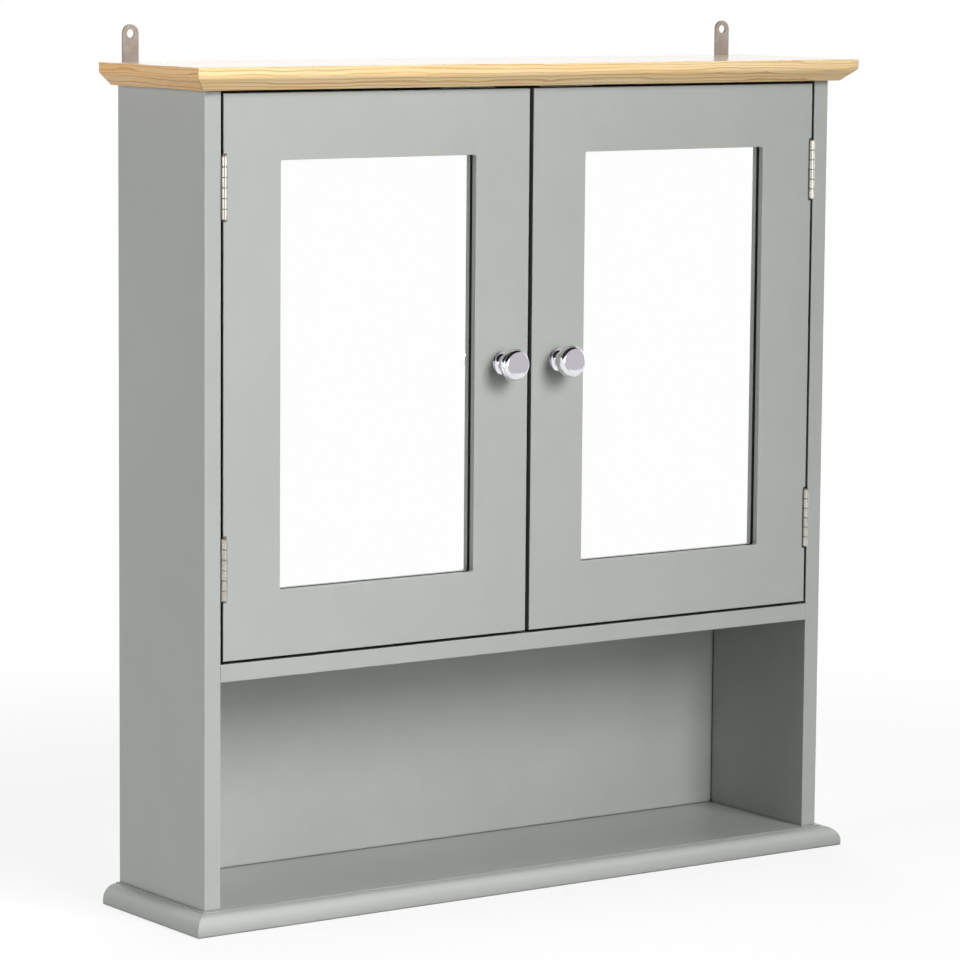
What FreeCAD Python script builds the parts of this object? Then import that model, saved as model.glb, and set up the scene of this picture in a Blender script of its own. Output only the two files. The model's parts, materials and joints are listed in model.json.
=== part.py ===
import FreeCAD, Part
import os
from types import SimpleNamespace

import Sketcher

# A hanging wall cabinet: a moulded top and base, two sides, an open lower space, and an upper
# cupboard behind two inset mirror doors. Millimetres. The origin lies on the wall, midway between
# the two hanging holes; +X is to the right, +Y goes into the wall and +Z is up.

doc = FreeCAD.newDocument("hanging_wall_cabinet")

# ---------------------------------------------------------------- driving sizes

SIZES = [
    # whole cabinet
    ("overall_width", 560.0, "top board, left to right"),
    ("overall_depth", 128.0, "top board, front to back"),
    ("overall_height", 580.0, "underside of the base to the top of the top board"),
    # top board
    ("top_thickness", 15.5, "top board"),
    ("top_side_overhang", 15.0, "top board past each side"),
    ("top_front_overhang", 16.0, "top board past the side fronts"),
    ("top_bevel_height", 8.6, "bevel under the top board's edge, upwards"),
    ("top_bevel_run", 9.6, "bevel under the top board's edge, inwards"),
    ("top_bevel_soft", 4.0, "round between the bevel and the upright edge"),
    # base board
    ("base_thickness", 14.5, "base board"),
    ("base_side_overhang", 13.5, "base board past each side"),
    ("base_front_overhang", 14.0, "base board past the side fronts"),
    ("base_round", 10.4, "round along the base board's edge"),
    ("base_quirk", 0.7, "small step where that round starts"),
    # carcass
    ("side_thickness", 12.5, "side panels"),
    ("lower_space_height", 154.7, "open space between the base and the divider"),
    ("divider_thickness", 12.1, "divider shelf"),
    ("back_thickness", 3.0, "back panel"),
    ("rebate_width", 5.0, "rebate for the back panel, into the side's thickness"),
    ("rebate_slack", 1.0, "rebate is this much deeper than the back panel"),
    ("back_slack", 0.3, "gap around the edges of the back panel"),
    ("arris", 0.5, "softened edges of the painted boards"),
    # doors
    ("door_thickness", 15.0, "door frames"),
    ("door_frame_width", 45.0, "door stiles and rails"),
    ("door_gap_side", 2.0, "door edge to the side panel"),
    ("door_gap_top", 2.0, "door to the top board"),
    ("door_gap_bottom", 1.9, "door to the divider"),
    ("door_gap_centre", 3.4, "between the two doors"),
    ("door_lip", 4.5, "frame in front of the mirror"),
    ("door_corner", 1.5, "inner corners of the mirror opening"),
    ("mirror_rebate", 6.0, "rebate around the mirror opening"),
    ("mirror_thickness", 3.0, "mirror"),
    ("mirror_slack", 0.4, "gap around the mirror and its backing"),
    ("backing_thickness", 3.0, "hardboard behind the mirror"),
    ("bead_slack", 0.1, "gap around the beads"),
    # knobs
    ("knob_rose_radius", 8.0, "foot of the knob"),
    ("knob_neck_radius", 4.4, "neck of the knob"),
    ("knob_head_radius", 11.3, "head of the knob"),
    ("knob_face_radius", 8.2, "flat end of the knob"),
    ("knob_length", 21.0, "knob, out from the door"),
    ("knob_head_length", 10.6, "head of the knob, along its axis"),
    ("knob_foot_height", 1.3, "upright edge of the knob's foot"),
    ("knob_neck_start", 4.6, "top of the knob's foot, where the plain neck starts"),
    # butt hinges
    ("hinge_inset", 62.2, "door end to the middle of the hinge"),
    ("hinge_reach", 14.0, "leaf, back from the door's face"),
    ("leaf_thickness", 0.8, "hinge leaves"),
    ("knuckle_radius", 2.1, "hinge barrel"),
    ("knuckle_height", 7.0, "one knuckle"),
    ("knuckle_slack", 0.15, "between knuckles of the two leaves"),
    ("knuckle_bevel", 0.4, "bevelled ends of the knuckles"),
    ("barrel_out", 0.9, "hinge axis in front of the door's face"),
    ("barrel_in", 2.3, "hinge axis inwards from the side panel"),
    ("barrel_slack", 0.4, "door notch around the barrel"),
    ("barrel_end_slack", 1.5, "door notch past each end of the barrel"),
    ("hinge_pin_radius", 1.0, "hinge pin"),
    ("hinge_screw_spread", 26.0, "between the two screws of a leaf"),
    # hanging plates
    ("hanging_inset", 10.0, "hanging holes inwards from the sides' outer faces"),
    ("hanging_rise", 19.0, "hanging holes above the top board"),
    ("hanging_hole_radius", 3.0, "hanging hole"),
    ("plate_thickness", 1.5, "hanging plates"),
    ("plate_tab_width", 12.4, "upright tab of a hanging plate"),
    ("plate_foot_width", 30.0, "foot of a hanging plate"),
    ("plate_foot_height", 12.5, "foot of a hanging plate"),
    ("plate_foot_drop", 1.0, "foot of a hanging plate below the top face"),
    ("plate_shoulder", 4.0, "sloping shoulders of a hanging plate"),
    ("plate_screw_spread", 19.0, "between the two screws of a plate"),
    # adjustable shelf
    ("shelf_thickness", 10.0, "adjustable shelf"),
    ("shelf_height", 184.0, "underside of the adjustable shelf above the divider"),
    ("shelf_slack", 1.0, "each end of the adjustable shelf"),
    ("shelf_setback", 9.0, "shelf front edge behind the doors"),
    ("shelf_pin_radius", 2.5, "shelf pins"),
    ("shelf_pin_depth", 8.0, "shelf pin in the side panel"),
    ("shelf_pin_reach", 8.0, "shelf pin out of the side panel"),
    ("shelf_pin_inset", 18.0, "shelf pins from the shelf's front and rear edges"),
    ("shelf_hole_pitch", 32.0, "between the shelf pin holes"),
    # magnetic catches
    ("catch_offset", 42.0, "middle of the catch from the cabinet's middle"),
    ("catch_width", 46.0, "catch housing with its two ears"),
    ("catch_block_width", 24.0, "raised block of the catch housing"),
    ("catch_height", 13.0, "catch housing below the top board"),
    ("catch_depth", 14.0, "catch housing, front to back"),
    ("catch_ear_height", 3.0, "ears of the catch housing"),
    ("catch_wall", 1.6, "walls of the catch housing"),
    ("catch_air_gap", 0.3, "pole plates to the closed door's strike plate"),
    ("magnet_height", 4.6, "magnet between its pole plates"),
    ("magnet_setback", 0.5, "magnet behind the housing's mouth"),
    ("pole_thickness", 1.2, "pole plates beside the magnet"),
    ("pole_proud", 1.0, "pole plates out of the housing"),
    ("strike_thickness", 0.8, "strike plates"),
    ("strike_width", 26.0, "strike plates"),
    ("strike_height", 9.0, "strike plates"),
    # fasteners and their fits
    ("fastener_fit", 0.05, "radial gap around every fastener"),
    ("wood_screw_radius", 1.3, "small wood screws"),
    ("wood_screw_head", 2.7, "small wood screws, head radius"),
    ("wood_screw_cone", 1.5, "small wood screws, head height"),
    ("hinge_screw_length", 10.5, "hinge screws"),
    ("plate_screw_length", 14.0, "hanging plate screws"),
    ("catch_screw_length", 9.0, "catch and strike screws"),
    ("base_screw_radius", 2.0, "long screws up through the base"),
    ("base_screw_head", 4.0, "long screws, head radius"),
    ("base_screw_cone", 2.6, "long screws, head height"),
    ("base_screw_length", 42.0, "long screws"),
    ("knob_screw_radius", 2.0, "machine screw of the knob"),
    ("knob_screw_head", 4.0, "machine screw of the knob, head radius"),
    ("knob_screw_grip", 8.0, "machine screw inside the knob"),
    ("pin_radius", 0.7, "panel pins"),
    ("pin_head", 1.6, "panel pins, head radius"),
    ("pin_head_height", 0.6, "panel pins, head height"),
    ("back_pin_length", 16.0, "panel pins of the back"),
    ("bead_pin_length", 11.0, "panel pins of the mirror beads"),
    ("dowel_radius", 3.0, "wooden dowels"),
    ("dowel_length", 24.0, "wooden dowels"),
    ("dowel_in_side", 8.0, "dowels of the divider, inside the side panel"),
    ("dowel_end_gap", 0.5, "left over at each end of a dowel hole"),
    ("cam_radius", 6.0, "cam locks"),
    ("cam_height", 9.5, "cam locks"),
    ("cam_reach", 20.0, "cam centre from the end of its panel"),
    ("cam_bolt_radius", 2.4, "cam bolts"),
    ("cam_bolt_neck", 1.5, "cam bolts, neck radius"),
    ("cam_bolt_grip", 8.5, "cam bolts, threaded end"),
    ("cam_bolt_head", 2.5, "cam bolts, head inside the cam"),
    ("cam_bolt_throat", 3.5, "cam bolts, neck inside the cam"),
    ("joint_inset", 22.0, "first and last fastener from the panel's front and rear"),
]


class Size:
    """A length, with the spreadsheet expression that gives it."""

    def __init__(self, text, value):
        self.text = text
        self.value = float(value)

    def __add__(self, other):
        return join(self, "+", other)

    def __radd__(self, other):
        return join(other, "+", self)

    def __sub__(self, other):
        return join(self, "-", other)

    def __rsub__(self, other):
        return join(other, "-", self)

    def __mul__(self, other):
        return join(self, "*", other)

    def __rmul__(self, other):
        return join(other, "*", self)

    def __truediv__(self, other):
        return join(self, "/", other)

    def __neg__(self):
        return join(0, "-", self)


def as_size(item):
    """A plain number as a Size."""
    if isinstance(item, Size):
        return item
    return Size(f"({float(item)})", item)


def join(first, sign, second):
    """Two sizes and the sign between them as one Size."""
    first = as_size(first)
    second = as_size(second)
    results = {
        "+": first.value + second.value,
        "-": first.value - second.value,
        "*": first.value * second.value,
        "/": first.value / (second.value or 1.0),
    }
    return Size(f"({first.text} {sign} {second.text})", results[sign])


sheet = doc.addObject("Spreadsheet::Sheet", "sizes")
for row, (alias, number, remark) in enumerate(SIZES, start=1):
    sheet.set(f"A{row}", alias)
    sheet.set(f"B{row}", str(number))
    sheet.set(f"C{row}", remark)
    sheet.setAlias(f"B{row}", alias)
doc.recompute()
d = SimpleNamespace(**{alias: Size(f"sizes.{alias}", sheet.get(alias)) for alias, _, _ in SIZES})

# ---------------------------------------------------------------- levels and faces from them

back = -d.plate_thickness
top_top = -d.hanging_rise
top_bottom = top_top - d.top_thickness
base_bottom = top_top - d.overall_height
base_top = base_bottom + d.base_thickness
carcass_half = d.overall_width / 2 - d.top_side_overhang
carcass_depth = d.overall_depth - d.top_front_overhang
inner_half = carcass_half - d.side_thickness
front = back - carcass_depth
back_face = back - d.back_thickness
side_height = top_bottom - base_top
divider_bottom = base_top + d.lower_space_height
divider_top = divider_bottom + d.divider_thickness

door_bottom = divider_top + d.door_gap_bottom
door_top = top_bottom - d.door_gap_top
door_height = door_top - door_bottom
door_middle = door_bottom + door_height / 2
door_inner = d.door_gap_centre / 2
door_outer = inner_half - d.door_gap_side
door_width = door_outer - door_inner
door_centre = door_inner + door_width / 2
door_rear = front + d.door_thickness
opening_width = door_width - 2 * d.door_frame_width
opening_height = door_height - 2 * d.door_frame_width
mirror_front = front + d.door_lip
backing_front = mirror_front + d.mirror_thickness
bead_front = backing_front + d.backing_thickness
bead_depth = d.door_thickness - d.door_lip - d.mirror_thickness - d.backing_thickness
knob_centre = door_inner + d.door_frame_width / 2

hinge_x = inner_half - d.barrel_in
hinge_y = front - d.barrel_out
hinge_levels = {"upper": door_top - d.hinge_inset, "lower": door_bottom + d.hinge_inset}
knuckle_count = 6
barrel_length = knuckle_count * d.knuckle_height
leaf_reach = d.barrel_out + d.hinge_reach
leaf_screw_y = front + d.door_thickness / 2

# ---------------------------------------------------------------- how pieces are made

TURNS = {
    "+Z": FreeCAD.Rotation(),
    "-Z": FreeCAD.Rotation(FreeCAD.Vector(1, 0, 0), 180),
    "+X": FreeCAD.Rotation(FreeCAD.Vector(0, 1, 0), 90),
    "-X": FreeCAD.Rotation(FreeCAD.Vector(0, 1, 0), -90),
    "+Y": FreeCAD.Rotation(FreeCAD.Vector(1, 0, 0), -90),
    "-Y": FreeCAD.Rotation(FreeCAD.Vector(1, 0, 0), 90),
}
nodes = {}


def node(name, item):
    """Keep an object as the sub-part of this name."""
    item.Label = name
    nodes[name] = item
    return item


def bind(item, path, size):
    """Tie one property of an object to a size."""
    item.setExpression(path, as_size(size).text)


def place(item, at, turn=FreeCAD.Rotation()):
    """Put an object's own origin at a point, turned, with each coordinate tied to its size."""
    at = [as_size(value) for value in at]
    item.Placement = FreeCAD.Placement(FreeCAD.Vector(*[value.value for value in at]), turn)
    for axis, value in zip("xyz", at):
        bind(item, f"Placement.Base.{axis}", value)
    return item


def box(name, lengths, corner):
    """A box from its lowest corner."""
    item = doc.addObject("Part::Box", name)
    for prop, value in zip(("Length", "Width", "Height"), lengths):
        bind(item, prop, value)
    return place(item, corner)


def cylinder(name, radius, length, at, along="+Z"):
    """A round bar that starts at a point and runs along an axis."""
    item = doc.addObject("Part::Cylinder", name)
    bind(item, "Radius", radius)
    bind(item, "Height", length)
    return place(item, at, TURNS[along])


def group(name, items):
    """Several objects as one, still separate solids."""
    item = doc.addObject("Part::Compound", name)
    item.Links = items
    return item


def fuse(name, items):
    """Several objects joined into one solid."""
    item = doc.addObject("Part::MultiFuse", name)
    item.Shapes = items
    return item


def cut(name, base, tools):
    """An object with a list of others cut away."""
    item = doc.addObject("Part::Cut", name)
    item.Base = base
    item.Tool = tools[0] if len(tools) == 1 else group(f"{name}_cutters", tools)
    return item


def mirror(name, source):
    """The left-hand copy of a right-hand object."""
    item = doc.addObject("Part::Mirroring", name)
    item.Source = source
    item.Normal = FreeCAD.Vector(1, 0, 0)
    return item


def copies(name, template, places):
    """One object repeated at (x, y, z, direction) places, its own +Z laid along the direction."""
    links = []
    for number, (x, y, z, along) in enumerate(places, start=1):
        link = doc.addObject("App::Link", f"{name}_{number}")
        link.LinkedObject = template
        links.append(place(link, (x, y, z), TURNS[along]))
    return group(name, links)


def new_body(name):
    """An empty body."""
    return doc.addObject("PartDesign::Body", name)


def new_sketch(body, plane, offset):
    """A sketch on one of the body's own planes, moved along that plane's normal."""
    sketch = body.newObject("Sketcher::SketchObject", f"{body.Name}_sketch")
    support = next(item for item in body.Origin.OriginFeatures if item.Role == plane)
    sketch.AttachmentSupport = [(support, "")]
    sketch.MapMode = "FlatFace"
    bind(sketch, "AttachmentOffset.Base.z", offset)
    return sketch


def hold(sketch, geometry, vertex, point):
    """Tie one point of a sketch to the sketch's origin in both directions."""
    for kind, value in zip(("DistanceX", "DistanceY"), point):
        value = as_size(value)
        number = sketch.addConstraint(Sketcher.Constraint(kind, -1, 1, geometry, vertex, value.value))
        sketch.setExpression(f"Constraints[{number}]", value.text)


def draw_polygon(sketch, points):
    """A closed outline of straight lines."""
    first = sketch.GeometryCount
    corners = [FreeCAD.Vector(as_size(x).value, as_size(y).value, 0) for x, y in points]
    count = len(points)
    for number, corner in enumerate(corners):
        sketch.addGeometry(Part.LineSegment(corner, corners[(number + 1) % count]))
    for number, point in enumerate(points):
        following = first + (number + 1) % count
        sketch.addConstraint(Sketcher.Constraint("Coincident", first + number, 2, following, 1))
        hold(sketch, first + number, 1, point)


def draw_circle(sketch, centre, radius):
    """A circle."""
    x, y = [as_size(value) for value in centre]
    radius = as_size(radius)
    middle = FreeCAD.Vector(x.value, y.value, 0)
    number = sketch.addGeometry(Part.Circle(middle, FreeCAD.Vector(0, 0, 1), radius.value))
    hold(sketch, number, 3, (x, y))
    tied = sketch.addConstraint(Sketcher.Constraint("Radius", number, radius.value))
    sketch.setExpression(f"Constraints[{tied}]", radius.text)


def rectangle(x_from, x_to, y_from, y_to):
    """Corner points of a rectangle."""
    return [(x_from, y_from), (x_to, y_from), (x_to, y_to), (x_from, y_to)]


def finish(body, item):
    """Makes a feature the last one of its body and computes it."""
    body.Tip = item
    doc.recompute()
    if "Invalid" in item.State or item.Shape.isNull():
        raise RuntimeError(f"{item.Name} failed")
    return item


def feature(body, kind, sketch, size=None, **settings):
    """A pad, pocket, revolution or groove of a sketch; the cut ones must take something away."""
    before = body.Shape.Volume if body.Tip else 0.0
    item = body.newObject(f"PartDesign::{kind}", f"{body.Name}_{kind.lower()}")
    item.Profile = sketch
    for name, value in settings.items():
        setattr(item, name, value)
    if size is not None:
        bind(item, "Length", size)
    finish(body, item)
    grows = kind in ("Pad", "Revolution")
    if (body.Shape.Volume > before) != grows:
        raise RuntimeError(f"{item.Name} doesn't change the solid as a {kind} should")
    return item


def pad(body, plane, outlines, size, offset=0, reverse=False):
    """Outlines drawn on a plane and pushed out."""
    sketch = new_sketch(body, plane, offset)
    for outline in outlines:
        draw_polygon(sketch, outline)
    return feature(body, "Pad", sketch, size, Reversed=reverse)


def pocket(body, plane, outlines, size, offset=0, reverse=False):
    """Outlines drawn on a plane and cut away."""
    sketch = new_sketch(body, plane, offset)
    for outline in outlines:
        draw_polygon(sketch, outline)
    return feature(body, "Pocket", sketch, size, Reversed=reverse)


def turned(body, kind, outlines):
    """Outlines in the body's XZ plane turned about its Z axis, as a Revolution or a Groove."""
    sketch = new_sketch(body, "XZ_Plane", 0)
    for outline in outlines:
        draw_polygon(sketch, outline)
    return feature(body, kind, sketch, ReferenceAxis=(sketch, ["V_Axis"]), Angle=360.0)


def edges_where(shape, test):
    """Names of the edges of a shape that a test picks."""
    return [f"Edge{number}" for number, edge in enumerate(shape.Edges, start=1) if test(edge)]


def level(edge, axis, size):
    """Whether the whole edge lies at one height along an axis."""
    box_of_edge = edge.BoundBox
    low = getattr(box_of_edge, f"{axis}Min")
    high = getattr(box_of_edge, f"{axis}Max")
    return abs(low - as_size(size).value) < 0.01 and abs(high - as_size(size).value) < 0.01


def soften(body, test, radius):
    """Rounds the picked edges of a body."""
    last = body.Tip
    item = body.newObject("PartDesign::Fillet", f"{body.Name}_fillet")
    item.Base = (last, edges_where(last.Shape, test))
    bind(item, "Radius", radius)
    return finish(body, item)


def bevel(body, test, upward, inward):
    """Chamfers the picked edges of a body by two different distances."""
    last = body.Tip
    item = body.newObject("PartDesign::Chamfer", f"{body.Name}_chamfer")
    item.Base = (last, edges_where(last.Shape, test))
    item.ChamferType = "Two distances"
    bind(item, "Size", upward)
    bind(item, "Size2", inward)
    return finish(body, item)


def lathe(name, outline):
    """A turned piece: its half outline as (radius, height) points."""
    body = new_body(name)
    turned(body, "Revolution", [outline])
    return body


def bore(name, radius, low, high):
    """A round bar about z, from one level to another, that drills a hole."""
    return lathe(name, rectangle(0, radius, low, high))


def two_sided(name, right):
    """A right-hand group together with its left-hand copy."""
    return group(name, [right, mirror(f"{name}_left", right)])


def both(name, right):
    """The right and left sub-parts of one shape."""
    node(f"right_{name}", right)
    node(f"left_{name}", mirror(f"left_{name}", right))


# ---------------------------------------------------------------- fasteners and their holes

clear = 0.6
screw_rim = 0.3
screw_point = 2.5


def sunk_screw(name, radius, head, cone, length):
    """A countersunk wood screw with its flat head at z = 0, point down, and the hole that it fits."""
    fit = d.fastener_fit
    blank = lathe(f"{name}_blank", [
        (0, 0),
        (head, 0),
        (head, -screw_rim),
        (radius, -cone),
        (radius, screw_point - length),
        (0, -length),
    ])
    arm = 0.24 * head
    bars = []
    for number, (across, along) in enumerate([(1.1 * head, arm), (arm, 1.1 * head)], start=1):
        corner = (-across / 2, -along / 2, -0.45 * head)
        bars.append(box(f"{name}_bar_{number}", (across, along, head), corner))
    screw = cut(name, blank, [fuse(f"{name}_cross", bars)])
    hole = lathe(f"{name}_hole", [
        (0, clear),
        (head + fit, clear),
        (head + fit, -screw_rim),
        (radius + fit, -cone),
        (radius + fit, -length - fit),
        (0, -length - fit),
    ])
    return screw, hole


def panel_pin(name, length):
    """A flat-headed pin with its head flush at z = 0, point down, and the hole that it fits."""
    fit = d.fastener_fit
    pin = lathe(name, [
        (0, 0),
        (d.pin_head, 0),
        (d.pin_head, -d.pin_head_height),
        (d.pin_radius, -d.pin_head_height),
        (d.pin_radius, 2 * d.pin_radius - length),
        (0, -length),
    ])
    hole = lathe(f"{name}_hole", [
        (0, clear),
        (d.pin_head + fit, clear),
        (d.pin_head + fit, -d.pin_head_height),
        (d.pin_radius + fit, -d.pin_head_height),
        (d.pin_radius + fit, -length - fit),
        (0, -length - fit),
    ])
    return pin, hole


def machine_screw(name, length):
    """A pan-headed machine screw: its head stands above z = 0 and its shank runs down from there."""
    head = d.knob_screw_head
    radius = d.knob_screw_radius
    height = 0.6 * head
    blank = lathe(f"{name}_blank", [
        (0, height),
        (0.7 * head, height),
        (head, 0.45 * height),
        (head, 0),
        (radius, 0),
        (radius, -length),
        (0, -length),
    ])
    arm = 0.22 * head
    bars = []
    for number, (across, along) in enumerate([(head, arm), (arm, head)], start=1):
        corner = (-across / 2, -along / 2, 0.35 * height)
        bars.append(box(f"{name}_bar_{number}", (across, along, height), corner))
    screw = cut(name, blank, [fuse(f"{name}_cross", bars)])
    hole = bore(f"{name}_hole", radius + d.fastener_fit, -length - 1.0, clear)
    return screw, hole


def dowel(name):
    """A dowel centred on z = 0 with bevelled ends, and the hole that it fits."""
    half = d.dowel_length / 2
    radius = d.dowel_radius
    lead = 0.7
    peg = lathe(name, [
        (0, -half),
        (radius - lead, -half),
        (radius, lead - half),
        (radius, half - lead),
        (radius - lead, half),
        (0, half),
    ])
    depth = half + d.dowel_end_gap
    return peg, bore(f"{name}_hole", radius + d.fastener_fit, -depth, depth)


def cam_bolt(name):
    """A cam bolt: screwed in below z = 0, with its head in the cam above, and the hole that it fits."""
    radius = d.cam_bolt_radius
    head_end = d.cam_reach + 1.0
    head_start = head_end - d.cam_bolt_head
    neck_start = head_start - d.cam_bolt_throat
    bolt = lathe(name, [
        (0, -d.cam_bolt_grip),
        (radius, -d.cam_bolt_grip),
        (radius, neck_start),
        (d.cam_bolt_neck, neck_start),
        (d.cam_bolt_neck, head_start),
        (radius, head_start),
        (radius, head_end),
        (0, head_end),
    ])
    fit = d.fastener_fit
    return bolt, bore(f"{name}_hole", radius + fit, -d.cam_bolt_grip - fit, d.cam_reach)


def cam_lock(name, bolt_depth):
    """A cam with its slotted cap at z = 0 and its mouth towards +X, and the hole that it fits."""
    fit = d.fastener_fit
    blank = cylinder(f"{name}_blank", d.cam_radius, d.cam_height, (0, 0, -d.cam_height))
    mouth_radius = d.cam_bolt_radius + 4 * fit
    mouth = cylinder(f"{name}_mouth", mouth_radius, d.cam_radius + 3.0, (-2.0, 0, -bolt_depth), "+X")
    arm = 0.2 * d.cam_radius
    bars = []
    for number, (across, along) in enumerate([(d.cam_radius, arm), (arm, d.cam_radius)], start=1):
        bars.append(box(f"{name}_bar_{number}", (across, along, 2.0), (-across / 2, -along / 2, -1.4)))
    lock = cut(name, blank, [mouth, fuse(f"{name}_cross", bars)])
    return lock, bore(f"{name}_hole", d.cam_radius + fit, -d.cam_height - clear, clear)


def shelf_pin(name):
    """A shelf pin: in the side panel below z = 0, with a thin collar and a plain end above it."""
    radius = d.shelf_pin_radius
    collar = 0.8 * d.shelf_slack
    pin = lathe(name, [
        (0, -d.shelf_pin_depth),
        (radius, -d.shelf_pin_depth),
        (radius, 0),
        (1.5 * radius, 0),
        (1.5 * radius, collar),
        (radius, collar),
        (radius, d.shelf_pin_reach),
        (0, d.shelf_pin_reach),
    ])
    return pin, bore(f"{name}_hole", radius + d.fastener_fit, -d.shelf_pin_depth - clear, clear)


small = (d.wood_screw_radius, d.wood_screw_head, d.wood_screw_cone)
large = (d.base_screw_radius, d.base_screw_head, d.base_screw_cone)
hinge_screw, hinge_screw_hole = sunk_screw("hinge_screw", *small, d.hinge_screw_length)
plate_screw, plate_screw_hole = sunk_screw("plate_screw", *small, d.plate_screw_length)
catch_screw, catch_screw_hole = sunk_screw("catch_screw", *small, d.catch_screw_length)
base_screw, base_screw_hole = sunk_screw("base_screw", *large, d.base_screw_length)
back_pin, back_pin_hole = panel_pin("back_pin", d.back_pin_length)
bead_pin, bead_pin_hole = panel_pin("bead_pin", d.bead_pin_length)
knob_screw, knob_screw_hole = machine_screw("knob_screw", d.door_thickness + d.knob_screw_grip)
peg, peg_hole = dowel("dowel")
bolt, bolt_hole = cam_bolt("cam_bolt")
shelf_peg, shelf_peg_hole = shelf_pin("shelf_pin")

# ---------------------------------------------------------------- where the fasteners sit

side_middle = inner_half + d.side_thickness / 2
divider_middle = divider_bottom + d.divider_thickness / 2
joint_rows = (front + d.joint_inset, back - d.joint_inset)
joint_centre = back - carcass_depth / 2
dowel_shift = d.dowel_length / 2 - d.dowel_in_side

cam_in_side, cam_in_side_hole = cam_lock("cam_in_side", d.side_thickness / 2)
cam_in_divider, cam_in_divider_hole = cam_lock("cam_in_divider", d.divider_thickness / 2)
side_cam_places = [(inner_half, y, top_bottom - d.cam_reach, "-X") for y in joint_rows]
divider_cam_places = [(inner_half - d.cam_reach, y, divider_bottom, "-Z") for y in joint_rows]
bolt_places = [(side_middle, y, top_bottom, "-Z") for y in joint_rows]
bolt_places += [(inner_half, y, divider_middle, "-X") for y in joint_rows]
dowel_places = [
    (side_middle, joint_centre, top_bottom, "+Z"),
    (side_middle, joint_centre, base_top, "+Z"),
    (inner_half - dowel_shift, joint_centre, divider_middle, "+X"),
]
base_screw_places = [(side_middle, y, base_bottom, "-Z") for y in joint_rows]

shelf_bottom = divider_top + d.shelf_height
shelf_rear = back_face - d.shelf_slack
shelf_front = door_rear + d.shelf_setback
shelf_pin_level = shelf_bottom - d.shelf_pin_radius
shelf_pin_rows = (shelf_front + d.shelf_pin_inset, shelf_rear - d.shelf_pin_inset)
shelf_pin_places = [(inner_half, y, shelf_pin_level, "-X") for y in shelf_pin_rows]
shelf_hole_places = [
    (inner_half, y, shelf_pin_level + step * d.shelf_hole_pitch, "-X")
    for y in shelf_pin_rows for step in (-2, -1, 0, 1, 2)
]

hanging_half = carcass_half - d.hanging_inset
plate_foot_top = top_top - d.plate_foot_drop
plate_screw_level = plate_foot_top - 0.6 * d.plate_foot_height
plate_screw_places = [
    (hanging_half + turn * d.plate_screw_spread / 2, 0, plate_screw_level, "+Y") for turn in (-1, 1)
]

catch_front = door_rear + d.strike_thickness + d.catch_air_gap + d.pole_proud
catch_bottom = top_bottom - d.catch_height
catch_ear_reach = (d.catch_width + d.catch_block_width) / 4
catch_middle = catch_front + d.catch_depth / 2
catch_screw_places = [
    (d.catch_offset + turn * catch_ear_reach, catch_middle, top_bottom - d.catch_ear_height, "-Z")
    for turn in (-1, 1)
]
pole_bottom = catch_bottom + d.catch_wall
pole_top = pole_bottom + 2 * d.pole_thickness + d.magnet_height
pole_middle = (pole_bottom + pole_top) / 2
strike_spread = d.strike_width / 2 - 4.5
strike_screw_places = [
    (d.catch_offset + turn * strike_spread, door_rear + d.strike_thickness, pole_middle, "+Y")
    for turn in (-1, 1)
]

back_panel_half = inner_half + d.rebate_width - d.back_slack
back_pin_x = (inner_half + back_panel_half) / 2
back_pin_levels = [base_top + side_height * share for share in (0.05, 0.275, 0.5, 0.725, 0.95)]
back_pin_side_places = [(back_pin_x, back, level_z, "+Y") for level_z in back_pin_levels]
back_pin_divider_places = [
    (inner_half * share, back, divider_middle, "+Y") for share in (-0.66, 0, 0.66)
]


def leaf_screw_places(x, along):
    """Both screws of both hinges on the right, for the leaf whose face lies at x."""
    return [
        (x, leaf_screw_y, middle + turn * d.hinge_screw_spread / 2, along)
        for middle in hinge_levels.values() for turn in (-1, 1)
    ]


fixed_leaf_screw_places = leaf_screw_places(inner_half - d.leaf_thickness, "-X")
door_leaf_screw_places = leaf_screw_places(door_outer + d.leaf_thickness, "+X")

# ---------------------------------------------------------------- carcass


def top_board():
    """The top board: a slab whose front and side edges are bevelled underneath with a soft bend."""
    body = new_body("top_board_body")
    half = d.overall_width / 2
    pad(body, "XY_Plane", [rectangle(-half, half, back - d.overall_depth, back)], d.top_thickness,
        offset=top_bottom)
    under = lambda edge: level(edge, "Z", top_bottom) and not level(edge, "Y", back)
    bevel(body, under, d.top_bevel_height, d.top_bevel_run)
    bend = top_bottom + d.top_bevel_height
    soften(body, lambda edge: level(edge, "Z", bend) and not level(edge, "Y", back), d.top_bevel_soft)
    soften(body, lambda edge: level(edge, "Z", top_top) and not level(edge, "Y", back), 0.5)
    return cut("top_board", body, [
        two_sided("top_bolt_holes", copies("top_bolt_hole", bolt_hole, bolt_places[:2])),
        two_sided("top_dowel_holes", copies("top_dowel_hole", peg_hole, dowel_places[:1])),
        two_sided("top_catch_holes", copies("top_catch_hole", catch_screw_hole, catch_screw_places)),
        two_sided("top_plate_holes", copies("top_plate_hole", plate_screw_hole, plate_screw_places)),
    ])


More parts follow.
